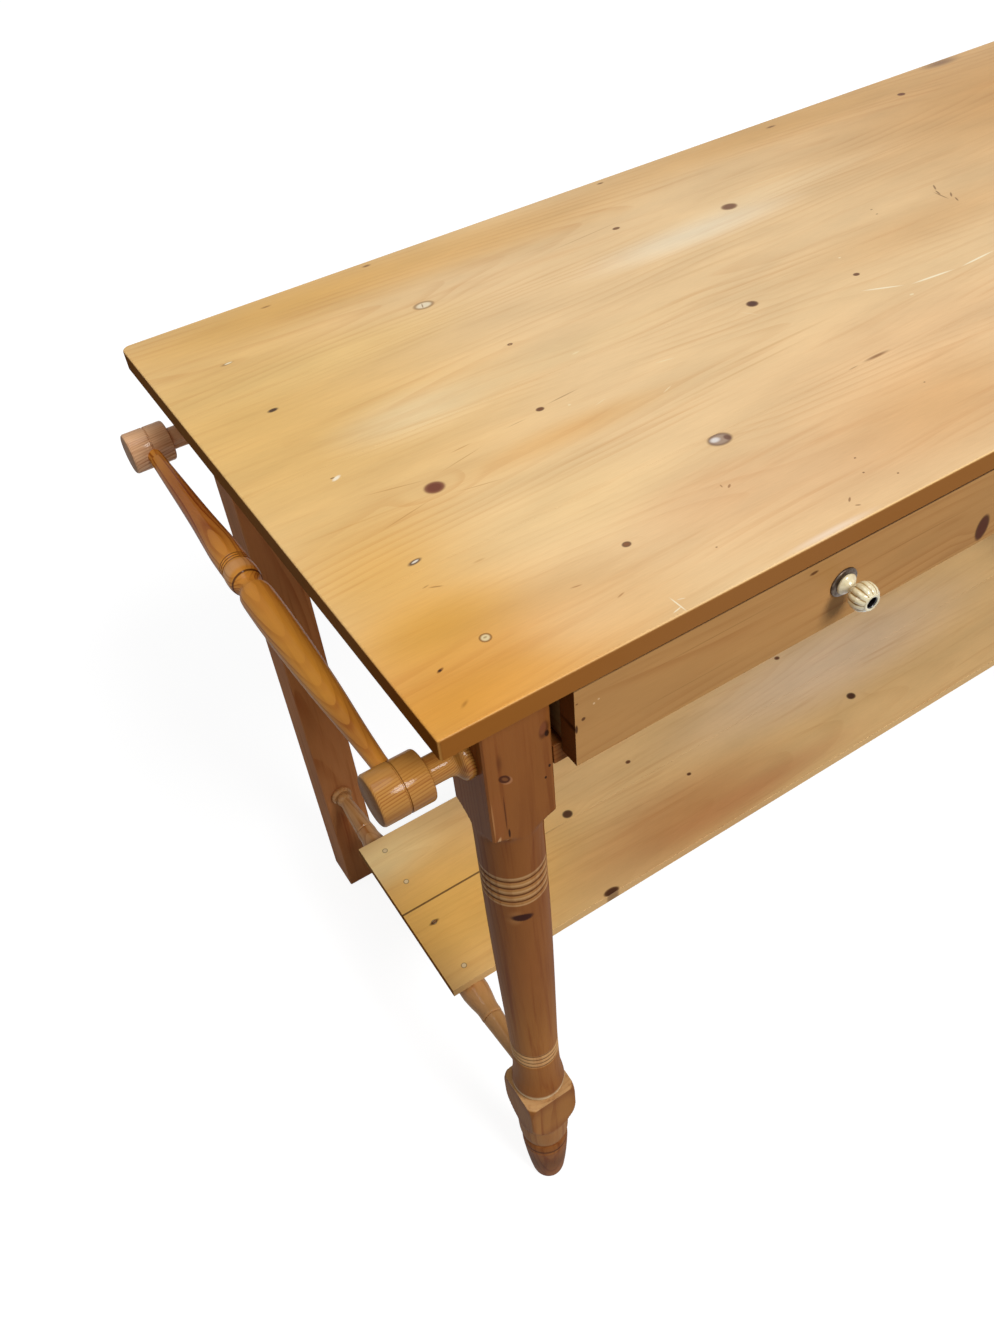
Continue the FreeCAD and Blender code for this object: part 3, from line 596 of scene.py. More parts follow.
def pine(
    name, grain, early, late, pith, washes=(), knots=(), marks=(), tilt=0.03, ring=5.0, contrast=0.3,
    streak=0.25, edge=None, edge_share=0.6, coat=0.0, polish=0.3, warp=9.0, end_share=0.9,
):
    """Pine sawn along one axis: rings about a pith line that bend round the knots, streaks, fibres and marks.

    The late wood multiplies the early wood's colour. Its rings, this many millimetres apart, are cut from a
    cone by the tilt, and wander by the warp. A board's worn sides have the edge's colour. The gloss is all in
    the coat of wax or varnish, because the wood below is matt; end grain and worn edges have lost it.
    """
    material = bpy.data.materials.new(name)
    tree, add = emptied(material)

    # Turned so that X runs along the grain.
    sides = add(SPLIT, (millimetres(add),)).outputs
    order = GRAIN[grain]
    spot = add(JOIN, [sides[axis] for axis in order])

    # The tree's rings, a cone about the pith that wanders and is pushed aside by the knots.
    slow = add(SCALE, (spot, (1 / 330, 1 / 70, 1 / 70)))
    wander = add("ShaderNodeTexNoise", {"Vector": slow, "Scale": 1.0, "Detail": 1.5}, out="Color")
    drift = add("ShaderNodeVectorMath", (wander, (0.5, 0.5, 0.5)), operation="SUBTRACT")
    moved = add(SCALE_PLUS, (drift, (0.0, warp * 2, warp * 2), spot))
    bent = add(SPLIT, (moved,)).outputs
    aside, below = (add(MINUS, (bent[i + 1], pith[i])) for i in (0, 1))
    from_pith = add(LENGTH, (add(JOIN, (aside, below)),))
    cone = add(TIMES_PLUS, (bent[0], tilt, from_pith))
    for knot in knots:
        reach = (knot.size[0] * 2.6, knot.size[1] * 1.7)
        bulge = share_inside(tree, spot, Mark(knot.at, reach, "", 1, 1.0, 0.0, knot.depth, knot.through))
        cone = add(TIMES_PLUS, (bulge, -knot.push, cone))
    year = add("ShaderNodeMath", (add(OVER, (cone, ring)),), operation="FRACT")
    line = add(TIMES, (add(SMOOTH, (year, 0.25, 0.88)), add(SMOOTH, (year, 1.0, 0.93))))
    late_wood = add(TIMES, (line, line))

    # Noise drawn out along the grain: patches where rings show, resin streaks, fibres and clouds of tone.
    # Each row gives the size along the grain and across it in millimetres, the detail and the roughness.
    noises = []
    for start, long, wide, detail, rough in (
        (spot, 190, 38, 2, 0.5), (moved, 240, 8, 3, 0.6), (spot, 16, 0.9, 2, 0.6), (spot, 150, 45, 2, 0.5)
    ):
        run = add(SCALE, (start, (1 / long, 1 / wide, 1 / wide)))
        noises.append(add(NOISE, {"Vector": run, "Scale": 1.0, "Detail": detail, "Roughness": rough}))
    patches, streaks, fibre, clouds = noises
    shown = add(SMOOTH, (patches, 0.4, 0.68, 0.12, 1.0))
    ring_share = add(TIMES, (add(TIMES, (late_wood, shown)), contrast))
    streaked = add(SMOOTH, (streaks, 0.5, 0.75, 0.0, streak))

    share = add(PLUS, (ring_share, streaked), use_clamp=True)
    colour = marked(tree, spot, tuple(early), washes)
    wood = add(BLEND, {0: share, 6: colour, 7: linear(late)}, blend_type="MULTIPLY")
    fine = add(RANGE, (fibre, 0.25, 0.75, 0.96, 1.035))
    wood = add(SCALE, (wood, add(TIMES, (add(RANGE, (clouds, 0.3, 0.7, 0.92, 1.06)), fine))))
    for knot in knots:
        wood = marked(tree, spot, wood, knot_marks(knot))
    wood = marked(tree, spot, wood, marks)

    # End grain drinks more of the finish; a top's sides are browner where hands have held them.
    facing = add("ShaderNodeNewGeometry", out="Normal")
    faces = add(SPLIT, (add("ShaderNodeVectorMath", (facing,), operation="ABSOLUTE"),)).outputs
    end = add(RANGE, (faces[order[0]], 0.7, 0.95, 0.0, end_share))
    wood = add(BLEND, {0: end, 6: wood, 7: add(SCALE, (wood, (0.28, 0.15, 0.09)))})
    if edge:
        side = add(RANGE, (faces[order[1]], 0.55, 0.95, 0.0, edge_share))
        wood = add(BLEND, {0: side, 6: wood, 7: linear(edge)})
        end = add(MOST, (end, side))

    raised = add(TIMES_PLUS, (late_wood, 0.5, fibre))
    shader = add(
        PRINCIPLED,
        {
            "Base Color": wood, "Roughness": add(RANGE, (fibre, 0.2, 0.8, 0.55, 0.75)),
            "Normal": add("ShaderNodeBump", {"Height": raised, "Distance": 0.00008, "Strength": 0.5}),
            "Specular IOR Level": 0.0, "Coat Weight": add(RANGE, (end, 0.0, 0.7, coat, 0.0)),
            "Coat Roughness": polish,
        },
    )
    add(OUTPUT, {"Surface": shader})
    return material


def glazed_ceramic(name, cream, gilt):
    """Cast ceramic under a clear glaze: cream lobes, with gilt that has pooled and worn in the grooves."""
    material = bpy.data.materials.new(name)
    tree, add = emptied(material)
    spot = add(PLACE)
    groove = add("ShaderNodeAttribute", out="Fac", attribute_name="groove")
    wear = add(NOISE, {"Vector": spot, "Scale": 260.0, "Detail": 4.0, "Roughness": 0.65})
    cloud = add(NOISE, {"Vector": spot, "Scale": 90.0, "Detail": 2.0})
    gilded = add(SMOOTH, (add(TIMES_PLUS, (wear, 0.5, groove)), 0.76, 1.06, 0.0, 0.9))
    worn = add(SMOOTH, (cloud, 0.5, 0.72, 0.0, 0.3))
    colour = add(BLEND, {0: add(MOST, (gilded, worn)), 6: tuple(cream), 7: tuple(gilt)})
    # The sunk hole that holds the bolt is painted near black, a painted shade.
    hole = {"strength": 1.0, "soft": 0.12, "depth": KNOB_HEIGHT, "through": 5.5}
    holes = [Mark((x, -30), (5.5, 12), "#080505", **hole) for x in KNOB_PLACES.values()]
    colour = marked(tree, millimetres(add), colour, holes)
    shader = add(
        PRINCIPLED,
        {"Base Color": colour, "Roughness": 0.22, "Coat Weight": 0.6, "Coat Roughness": 0.06},
    )
    add(OUTPUT, {"Surface": shader})
    return material


def worked_metal(name, colour, tarnish, rough, size):
    """Small turned or cut metal, bright where it is handled and dull in patches of this size in mm."""
    material = bpy.data.materials.new(name)
    add = emptied(material)[1]
    spot = add(PLACE)
    mottle = add(NOISE, {"Vector": spot, "Scale": 1000 / size, "Detail": 4.0, "Roughness": 0.6})
    dull = add(SMOOTH, (mottle, 0.42, 0.62))
    shader = add(
        PRINCIPLED,
        {
            "Base Color": add(BLEND, {0: dull, 6: linear(colour), 7: linear(tarnish)}),
            "Roughness": add(RANGE, {0: dull, 3: rough, 4: rough + 0.2}),
            "Normal": add("ShaderNodeBump", {"Height": mottle, "Distance": 0.00004, "Strength": 0.5}),
            "Metallic": 1.0,
        },
    )
    add(OUTPUT, {"Surface": shader})
    return material


# ---------------- knots and marks

# Waxed top: honey at the left end, deepest in the front corner, browner at the right, and paler in the
# middle, partly as a painted reflection of the light.
TOP_WASHES = ovals(
    (40, 400, 330, 420, "#e6b764", 0.85, 0.9), (20, 20, 250, 140, "#d89226", 0.95, 0.85),
    (50, 150, 130, 120, "#e0a640", 0.65, 0.9), (200, 580, 380, 70, "#d9a348", 0.75, 0.9),
    (430, 60, 330, 100, "#e8b988", 0.7, 0.9), (600, 150, 330, 100, "#e8b988", 0.5, 0.9),
    (520, 70, 170, 80, "#d3a065", 0.6, 0.9), (50, 90, 90, 50, "#dc9e30", 0.6, 0.9),
    (190, 150, 150, 80, "#f2cf97", 0.75, 0.9), (150, 36, 80, 46, "#edc48e", 0.75, 0.9),
    (170, 330, 110, 50, "#f4dcae", 0.7, 0.9), (150, 460, 220, 50, "#efca86", 0.6, 0.9),
    # The palest patch, 560 mm along and 436 mm back, is a painted reflection of the light.
    (560, 436, 190, 36, "#f9e8c8", 0.85, 0.9), (700, 460, 220, 26, "#f3dcb2", 0.5, 0.9),
    (330, 330, 220, 30, "#f0d09c", 0.6, 0.9), (260, 225, 150, 26, "#dda55a", 0.55, 0.9),
    (290, 90, 110, 50, "#dfb283", 0.5, 0.9), (420, 560, 280, 60, "#dcab66", 0.65, 0.9),
    (760, 300, 280, 60, "#d6a76e", 0.65, 0.9), (1150, 480, 620, 300, "#c98f45", 0.85, 0.95),
    (760, 590, 420, 60, "#d3a05a", 0.7, 0.9),
)

TOP_KNOTS = {
    "front": (
        Knot((342.6, 140.5), (25, 18), "#b39a86", 8, "#57372b"), Knot((206.3, 81.5), (7.5, 6), "#8a5a3a", 4),
        Knot((1010, 96), (17, 12), "#6b3f2c", 9),
    ),
    "second": (
        Knot((129.5, 228), (20, 17), "#6d3526", 11, "#7c4430"), Knot((255, 267), (8, 5.5), "#77492b", 4),
        Knot((505.6, 288), (13, 11.5), "#4c2c26", 6), Knot((615.9, 267.5), (7, 5), "#7a5236", 4),
        Knot((934, 214), (15, 11), "#7b4a31", 8),
    ),
    "third": (
        Knot((292.6, 372.6), (5, 3), "#c79a62", 2), Knot((1096, 371), (14, 10), "#6b3f2c", 8),
    ),
    "back": (
        Knot((624.4, 459.7), (22, 15), "#7c553d", 9, "#8d6646"), Knot((505, 498), (9, 5), "#8c623c", 5),
        Knot((267.5, 488.7), (25, 16), "#e6cda2", 5, "#80552f"), Knot((980, 560), (12, 8), "#7b4a31", 6),
    ),
}

TOP_MARKS = {
    "front": ovals(
        # A white centre in the large knot, small dents, and an old scratch over the front edge.
        (339, 142, 6.5, 4.5, "#efe9e4", 0.8, 0.6), (349, 139, 4, 5, "#6a4638", 0.8, 0.5),
        (32.8, 52.7, 4.2, 1.8, "#7b4a1d", 0.85, 0.5, 20), (32.5, 52.7, 1.8, 1.3, "#2f1a0c", 0.9, 0.4),
        (30.5, 17.6, 6, 2.2, "#8e5a1c", 0.6, 0.9, 30), (72, 126, 7, 1.1, "#9c6a35", 0.7, 0.6, -25),
        (66, 130.5, 4, 1, "#9c6a35", 0.5, 0.6, 10), (151.3, 66.2, 6, 1, "#a46c3a", 0.6, 0.6, -10),
        (170.6, 40.4, 5, 1, "#a46c3a", 0.6, 0.6, 15), (195.8, 9.5, 0.8, 11, "#f6e8c8", 0.9, 0.5, 3),
        (192, 5.5, 5.5, 0.7, "#f6e8c8", 0.85, 0.5, 12), (201, 12.5, 4, 0.6, "#f6e8c8", 0.6, 0.5, -20),
        (308.7, 89.3, 3.5, 1.4, "#8a5a33", 0.7, 0.5, 35), (304, 93, 2.6, 0.9, "#8a5a33", 0.6, 0.5, 80),
        (111.3, 131.6, 7, 1.6, "#c79558", 0.5, 0.7), (406.3, 57.6, 1.4, 1, "#6b4023"),
        (398, 40.4, 1.3, 1, "#6b4023"), (417.2, 24.3, 1.3, 1, "#6b4023"),
        (366.5, 22.9, 4, 1.2, "#7a4a28", 0.7, 0.5, 40), (366.6, 14.5, 3, 1, "#7a4a28", 0.7, 0.5, -30),
        (255, 40, 1.2, 0.9, "#7a4a28", 0.7, 0.4), (525, 99, 1.2, 0.9, "#6b4023", 0.7, 0.4),
        (380, 106, 120, 4, "#c98d55", 0.28, 0.9, 2), (560, 120, 90, 3, "#c58a50", 0.28, 0.9, 1),
        # Painted highlights: a pale gold line along the front arris, and a patch of glare just behind it.
        (640, 0.2, 900, 1.4, "#f7d08a", 0.7, 0.6), (330, 4, 60, 5, "#fde9d6", 0.6, 0.9),
    ),
    "second": ovals(
        # Arch lines round the large knot, then gouges, a run of pale scratches, and faint long lines.
        (173.3, 260.7, 13, 1, "#b07a3c", 0.5, 0.7, 4), (104, 247, 34, 0.9, "#a8712f", 0.55, 0.8, -14),
        (166, 247, 30, 0.9, "#a8712f", 0.5, 0.8, 12), (95, 211, 34, 0.9, "#a8712f", 0.5, 0.8, 12),
        (160, 208, 26, 0.9, "#a8712f", 0.45, 0.8, -12), (281, 271, 22, 1.1, "#7a4f2a", 0.6, 0.8, 5),
        (228, 262, 14, 0.8, "#8a5c33", 0.4, 0.8, 3), (278, 257, 2, 1.6, "#f3dcae", 0.85, 0.5),
        (525.3, 152.4, 20, 2.8, "#85552f", 0.8, 0.7, 1), (497, 151, 8, 0.9, "#85552f", 0.5, 0.7, 3),
        (625.7, 208, 3.4, 1.6, "#f6e3ba", 0.8, 0.5), (628, 302, 2, 1.4, "#f6e3ba", 0.8, 0.5),
        (615, 233, 24, 1.5, "#fff3d2", 0.8, 0.5, -25), (665, 219, 30, 1.7, "#fff3d2", 0.85, 0.5, -6),
        (722, 217, 28, 1.5, "#fff3d2", 0.85, 0.5, 3), (777, 224, 30, 1.4, "#fff3d2", 0.7, 0.5, 9),
        (382.9, 261.4, 13, 0.9, "#f4dfb2", 0.75, 0.6, -12), (356, 224, 9, 0.8, "#f4dfb2", 0.65, 0.6, 22),
        (301, 244, 9, 0.8, "#f4dfb2", 0.55, 0.6, 15), (492, 276, 13, 1.2, "#f0d5a8", 0.55, 0.7, -55),
        (470, 222, 100, 2.4, "#c08a49", 0.35, 0.9, 2), (420, 207, 120, 2, "#c08a49", 0.35, 0.9, 3),
        (60, 226, 70, 1.4, "#c78b3f", 0.35, 0.9, -4),
    ),
    "third": ovals(
        # A fan of short dark scratches right of the middle, and two dents beside it.
        (505, 372, 150, 3.5, "#c79a62", 0.25, 0.9), (806, 318, 6, 1.3, "#7d5836", 0.8, 0.5, 62),
        (810, 329, 7, 1.4, "#7d5836", 0.8, 0.5, 48), (804, 341, 7, 1.4, "#7d5836", 0.8, 0.5, 70),
        (811, 352, 8, 1.4, "#7d5836", 0.8, 0.5, 55), (801, 334, 13, 1.2, "#7d5836", 0.7, 0.5, 88),
        (725.8, 357.2, 2, 1.2, "#8a6541", 0.8, 0.5), (722.5, 346.3, 2, 1.1, "#8a6541", 0.8, 0.5),
        (330, 322, 6, 1.6, "#f4dfb2", 0.7, 0.7, 5),
    ),
    "back": ovals(
        # The pale knot's heart and crack, then stains along the back edge.
        (267.5, 488.7, 9.5, 5.5, "#efe0c2", 0.85, 0.35), (266, 488.5, 1, 6, "#8a6038", 0.7, 0.5, -20),
        (144.4, 589.9, 8, 2.4, "#8a5a30", 0.7, 0.7), (262.7, 600.4, 7, 3, "#6e4526", 0.8, 0.7),
        (558.7, 600.4, 6, 2.4, "#6e4526", 0.8, 0.6), (800.9, 592.1, 10, 3, "#6e4526", 0.8, 0.7),
        (1092, 602, 44, 14, "#8b6a52", 0.85, 0.8), (690, 483, 140, 1.8, "#f0d7a6", 0.4, 0.9, -2),
        (470, 505, 70, 1.2, "#a9763c", 0.4, 0.8, 5),
    ),
}

# Each plug has worn in its own way, so some hardly show and one has lost its face.
WORN_PLUGS = ovals(
    (73, 61, 5.4, 5.2, "#80552a", 0.8, 0.2), (73, 61, 4.2, 4, "#ecd8a8", 0.85, 0.4),
    (73, 61.4, 2.2, 1.4, "#8a6a40", 0.6, 0.6), (73, 159, 8, 3.4, "#4a3430", 0.9, 0.5, 10),
    (73.4, 159.2, 4.4, 1.4, "#efe4d2", 0.9, 0.5, 10), (73, 288, 6.4, 2.8, "#fbf0d8", 0.9, 0.6, 25),
    (70.4, 290, 2.6, 1.2, "#5f3f28", 0.7, 0.5), (73, 413, 6.8, 3.6, "#3a211a", 0.95, 0.5, 5),
    (71, 513, 9, 3.2, "#7a5530", 0.7, 0.7, 5), (72.4, 513.4, 5.4, 1.7, "#f6e6c2", 0.9, 0.5, 5),
)

SHELF_KNOTS = {
    "front": (
        Knot((735.6, 261), (14, 12), "#4a2a1e", 7, "#3d2418"), Knot((273, 196), (24, 10), "#4a2a1c", 6),
        Knot((465.6, 284), (6, 4), "#5c3520", 3), Knot((1010, 240), (12, 9), "#6b4026", 6),
    ),
    "rear": (
        Knot((296, 324), (15, 13), "#56341f", 6, "#33201a"), Knot((412.4, 348), (7, 5), "#6b4026", 4),
        Knot((704, 377), (8, 6), "#6b4026", 4), Knot((860, 400), (14, 10), "#6b4026", 7),
    ),
}

DRAWER_KNOTS = (
    Knot((506.5, 0), (16, 44), "#552818", 7, "#3c1a10", depth=819.0, through=15.0),
    Knot((770, 0), (12, 44), "#5a2a1a", 6, "#46200f", depth=838.0, through=8.0),
)


def on_fronts(*rows, into=40):
    """Marks on the drawers' fronts, from rows of x, height, reach along, reach up, and then as for a Mark."""
    return [Mark((x, 0), (long, into), *rest, depth=z, through=tall) for x, z, long, tall, *rest in rows]


DRAWER_MARKS = (
    *on_fronts(
        (109, 849, 2.2, 2.2, "#4a2412", 0.85, 0.5), (104, 867, 1.4, 1, "#5a2f18", 0.7, 0.5),
        (103, 842, 1.5, 5.5, "#3c1c0e", 0.9, 0.5), (118, 859, 1.2, 1.2, "#e3c79c", 0.7, 0.5),
        (122, 861, 1.2, 1, "#e3c79c", 0.6, 0.5), (315, 871.4, 5.5, 2.2, "#54290f", 0.85, 0.6),
    ),
    # A painted shadow under the top.
    *on_fronts((634, 880.6, 900, 1.9, "#3a1f0e", 0.85, 0.6), into=60),
    *on_fronts(
        (230, 861, 90, 0.9, "#7c4c22", 0.35, 0.9), (205, 826, 70, 0.8, "#7c4c22", 0.3, 0.9),
        (430, 851, 80, 0.9, "#7c4c22", 0.35, 0.9),
    ),
)

# Stained legs: warm brown on the shaft, and lighter where the lathe cut across the grain.
# Each row gives a band's height, its half height, its colour, strength and softness.
LEG_BANDS = (
    (370, 160, "#bb7c38", 0.55, 0.9), (655, 20.5, "#b98650", 0.8, 0.16), (337.5, 15.5, "#dcab72", 0.9, 0.25),
    (205, 44, "#b57c3c", 0.6, 0.6), (147, 24, "#b5804a", 0.75, 0.35), (248, 6.5, "#b5804a", 0.7, 0.4),
    # The bright band just above the cup's lip is a painted highlight, the light line on the lower block's top
    # edge is partly a painted highlight, and the dark band on the toe is painted shade.
    (257, 6, "#f3d3a4", 0.85, 0.8), (245, 1.6, "#dcae76", 0.8, 0.6), (60, 36, "#633a18", 0.6, 0.9),
    (99, 1.6, "#c08c58", 0.8, 0.8), (104.5, 3.2, "#4f2810", 0.8, 0.8),
    # Lighter ridges between the rings, partly a painted highlight, and dark lines in the grooves.
    *((644.8 + 9.6 * i, 2.2, "#dcae78", 0.7, 0.8) for i in range(-1, 4)),
    *((640 + 9.6 * i, 1.7, "#54290f", 0.85, 0.6) for i in range(4)),
    *((326 + 7.5 * i, 1.5, "#54290f", 0.8, 0.6) for i in range(4)),
)

# All in the front of the front-left leg: a plugged hole, a crack beside a long sliver, and small knots.
LEG_FRONT_MARKS = (
    *ovals(
        (824, 50.5, 13, 3.6, "#552a10", 0.45, 0.9), (802.4, 54.8, 4.2, 7.2, "#b07850", 0.8, 0.3, 50),
        (804.6, 53.2, 4, 7.2, "#4a220e", 0.95, 0.3, 50), (804.4, 53.6, 2, 4.8, "#84512c", 0.8, 0.6, 50),
        (764, 44.6, 31, 6, "#94582c", 0.55, 0.3), (766, 50.6, 26, 0.8, "#4a230f", 0.7, 0.5),
        (741, 52.2, 7, 1.2, "#2c140a", 0.9, 0.5), (737, 42.6, 6.5, 2, "#d0a070", 0.8, 0.5, 20),
        (734, 47, 1.4, 5.2, "#c08c58", 0.7, 0.5), (764, 40.2, 29, 0.9, "#b98250", 0.6, 0.6),
        (834, 88.4, 11, 5.2, "#4a2110", 0.7, 0.5, 12), (836, 87.6, 8, 3.6, "#8a5030", 0.75, 0.5, 12),
        (829, 90.6, 4.4, 2.4, "#220d06", 0.9, 0.5), (793, 91, 2.2, 1.3, "#1e0d06", 0.9, 0.4),
        (782, 87, 1.8, 1.2, "#1e0d06", 0.9, 0.4),
        depth=19.0, through=9.0,
    ),
    *ovals(
        (616, 50, 15, 9, "#b67f4a", 0.65, 0.8, 10, 19, 18), (617, 52, 7, 16, "#5c2c14", 0.6, 0.9, 0, 19, 18),
        (616, 56, 6.2, 11.5, "#35110a", 0.95, 0.4, 4, 19, 16),
    ),
)


def rounds(columns, rows, first, last, radius, colour):
    """A dark line round each plug or filled nail whose middle lies in this width of wood."""
    reach = (radius, radius)
    return [Mark((x, y), reach, colour, 0.7, 0.25) for x in columns for y in rows if first < y < last]


# ---------------- operators


class PINETABLE_OT_top(bpy.types.Operator):
    """Boards of the top, with their screws and plugs."""

    bl_idname = "pine_table.top"
    bl_label = "Top"

    def execute(self, context):
        pale, late = context.scene.pine_table_finish.pale, "#d8b083"
        arris = context.scene.pine_table_boards.top_arris
        look = {"contrast": 0.2, "streak": 0.16, "coat": 0.35}
        # Each board's front and back edges, its pith across and up, and its tilt: sawn near the pith, so the
        # rings run out in long arches.
        boards = {
            "front": (0, 148, 70, 862, 0.045), "second": (148, 308, 238, 858, 0.05),
            "third": (308, 450, 352, 868, -0.04), "back": (450, 610, 520, 862, 0.05),
        }
        for board, (first, last, *pith, tilt) in boards.items():
            washes = [w for w in TOP_WASHES if first - w.reach[1] < w.at[1] < last + w.reach[1]]
            plug_lines = rounds([PLUG_COLUMN], PLUG_ROWS, first, last, 5.6, "#80552a")
            plug_lines += [mark for mark in WORN_PLUGS if first < mark.at[1] < last]
            finish = pine(
                f"Waxed Pine {board.capitalize()} Top Board", "X", pale, late, pith, washes, TOP_KNOTS[board],
                (*TOP_MARKS[board], *plug_lines), tilt, 6.5, edge="#8f531c", edge_share=0.9, warp=14.0,
                **look,
            )
            node = "top_board_" + board
            settle(softened(node, arris, finish), "table_frame", "top_pine", node)
        plugs = pine("Pine Plugs", "X", pale, late, (61, 820), TOP_WASHES, (), WORN_PLUGS, 0.05, **look)
        dress("screw_plugs", plugs)
        dress("top_screws", worked_metal("Zinc Plated Steel Screws", "#a9abac", "#8a8c8f", 0.3, 1.5))
        return {"FINISHED"}


class PINETABLE_OT_front_legs(bpy.types.Operator):
    """The two turned front legs."""

    bl_idname = "pine_table.front_legs"
    bl_label = "Front Legs"

    def execute(self, context):
        stain = context.scene.pine_table_finish.stain
        arris = context.scene.pine_table_turning.square_arris
        bands = [Mark((h, 600), (half, 2000), tone, share, soft) for h, half, tone, share, soft in LEG_BANDS]
        for side, (x, y) in FRONT_LEG_AXES.items():
            finish = pine(
                "Stained Pine Leg " + side, "Z", stain, "#c08a5c", (x + 14, y + 60), bands, (),
                LEG_FRONT_MARKS if side == "left" else (), 0.012, 4.0, 0.45, 0.5,
                coat=0.11, polish=0.22, warp=6.0, end_share=0.1,
            )
            leg = turned_piece(
                "turned_front_leg_" + side, front_leg_outline(), finish, place(x, y, 0),
                blank=FRONT_LEG_WIDTH, arris=arris, crowding=0.85,
            )
            settle(leg, "table_frame", "stained_pine", "front_leg_" + side)
        return {"FINISHED"}


class PINETABLE_OT_frame(bpy.types.Operator):
    """Rear legs, rails, runners and guides."""

    bl_idname = "pine_table.frame"
    bl_label = "Rear Legs and Rails"

    def execute(self, context):
        colours = context.scene.pine_table_finish
        arris = context.scene.pine_table_boards.board_arris
        hands = ("left", "right")
        # The rail and stile round the drawers are as dark as the front legs.
        for label, grain, colour, pith, nodes in (
            ("Posts", "Z", colours.frame, (50, 640), ["rear_leg_" + hand for hand in hands]),
            ("End Rails", "Y", colours.frame, (90, 760), ["end_rail_" + hand for hand in hands]),
            ("Cross Rails", "X", colours.frame, (560, 760), ["back_rail"]),
            ("Bearer Rail", "X", colours.stain, (50, 760), ["front_bearer_rail"]),
            ("Stile", "Z", colours.stain, (640, 60), ["centre_stile"]),
        ):
            finish = pine(
                "Stained Pine " + label, grain, colour, "#c08a5c", pith,
                ring=4.5, contrast=0.45, streak=0.4, coat=0.08,
            )
            for node in nodes:
                settle(softened(node, arris, finish), "table_frame", "stained_pine", node)
        bare = pine(
            "Planed Pine Runners", "Y", colours.bare, "#d8b07e", (200, 760), contrast=0.45, streak=0.3
        )
        for part in ("runner", "guide"):
            for hand in ("left", "centre", "right"):
                node = f"drawer_{part}_{hand}"
                settle(softened(node, arris, bare), "table_frame", "bare_pine", node)
        return {"FINISHED"}


class PINETABLE_OT_stretchers(bpy.types.Operator):
    """The turned stretchers under the shelf's ends."""

    bl_idname = "pine_table.stretchers"
    bl_label = "Stretchers"

    def execute(self, context):
        colour = context.scene.pine_table_finish.stretcher
        for side, x in STRETCHER_AXES.items():
            finish = pine(
                "Varnished Pine Stretcher " + side, "Y", colour, "#c99a68", (x + 9, 170), tilt=0.02, ring=3.5,
                contrast=0.5, streak=0.4, coat=0.3, polish=0.1, warp=5.0, end_share=0.2,
            )
            start = place(x, FRONT_LEG_BACK, STRETCHER_HEIGHT)
            bar = turned_piece("turned_stretcher_" + side, stretcher_outline(), finish, start, ALONG_Y)
            settle(bar, "table_frame", "stained_pine", "stretcher_" + side)
        return {"FINISHED"}


class PINETABLE_OT_towel_rail(bpy.types.Operator):
    """The towel rail and the two brackets that hold it."""

    bl_idname = "pine_table.towel_rail"
    bl_label = "Towel Rail"

    def execute(self, context):
        colours = context.scene.pine_table_finish
        late = "#b98250"
        # The far half is redder, and the near half golden with fine arches of late wood.
        washes = ovals(
            (460, -12, 130, 400, "#b0662f", 0.8, 0.9, 0, 810),
            (180, -15, 160, 400, "#c98a30", 0.6, 0.9, 0, 814),
            (110, -15, 50, 400, "#a8682a", 0.45, 0.9, 0, 814),
            (333, -13, 9, 400, "#e0ab74", 0.6, 0.6, 0, 811),
            # Dark lines in the cuts either side of the bead.
            *((y, -13, 1.1, 400, "#4c260e", 0.85, 0.7, 0, 811) for y in (306.3, 321, 342.5, 345.9, 349.3)),
        )
        finish = pine(
            "Varnished Pine Towel Rail", "Y", colours.rail, late, (-6, 790), washes, tilt=0.05, ring=2.0,
            contrast=0.8, streak=0.45, coat=0.24, polish=0.12, warp=2.5, end_share=0.15,
        )
        rail = turned_piece("turned_towel_rail", towel_rail_outline(), finish, place(*RAIL_FRONT), ALONG_RAIL)
        settle(rail, "table_frame", "rail_pine", "towel_rail")
        for row, seat in {"front": RAIL_FRONT, "rear": RAIL_REAR}.items():
            # The rear bracket's pale wash is painted light, lifting it where the top shades it.
            worn = [Mark((seat.x, seat.y), (120, 60), "#e6b88e", 0.85, 0.3)] if row == "rear" else ()
            finish = pine(
                "Varnished Pine Bracket " + row, "X", colours.bracket, late, (seat.y + 5, seat.z + 8), worn,
                tilt=0.04, ring=1.1, contrast=0.9, streak=0.5, coat=0.3, polish=0.14, warp=2.0,
                end_share=0.45,
            )
            outline = bracket_outline(seat.x, *BRACKET_SEATS[row])
            start = place(0, seat.y, seat.z)
            bracket = turned_piece("turned_towel_bracket_" + row, outline, finish, start, ALONG_X)
            settle(bracket, "table_frame", "rail_pine", "towel_bracket_" + row)
        return {"FINISHED"}


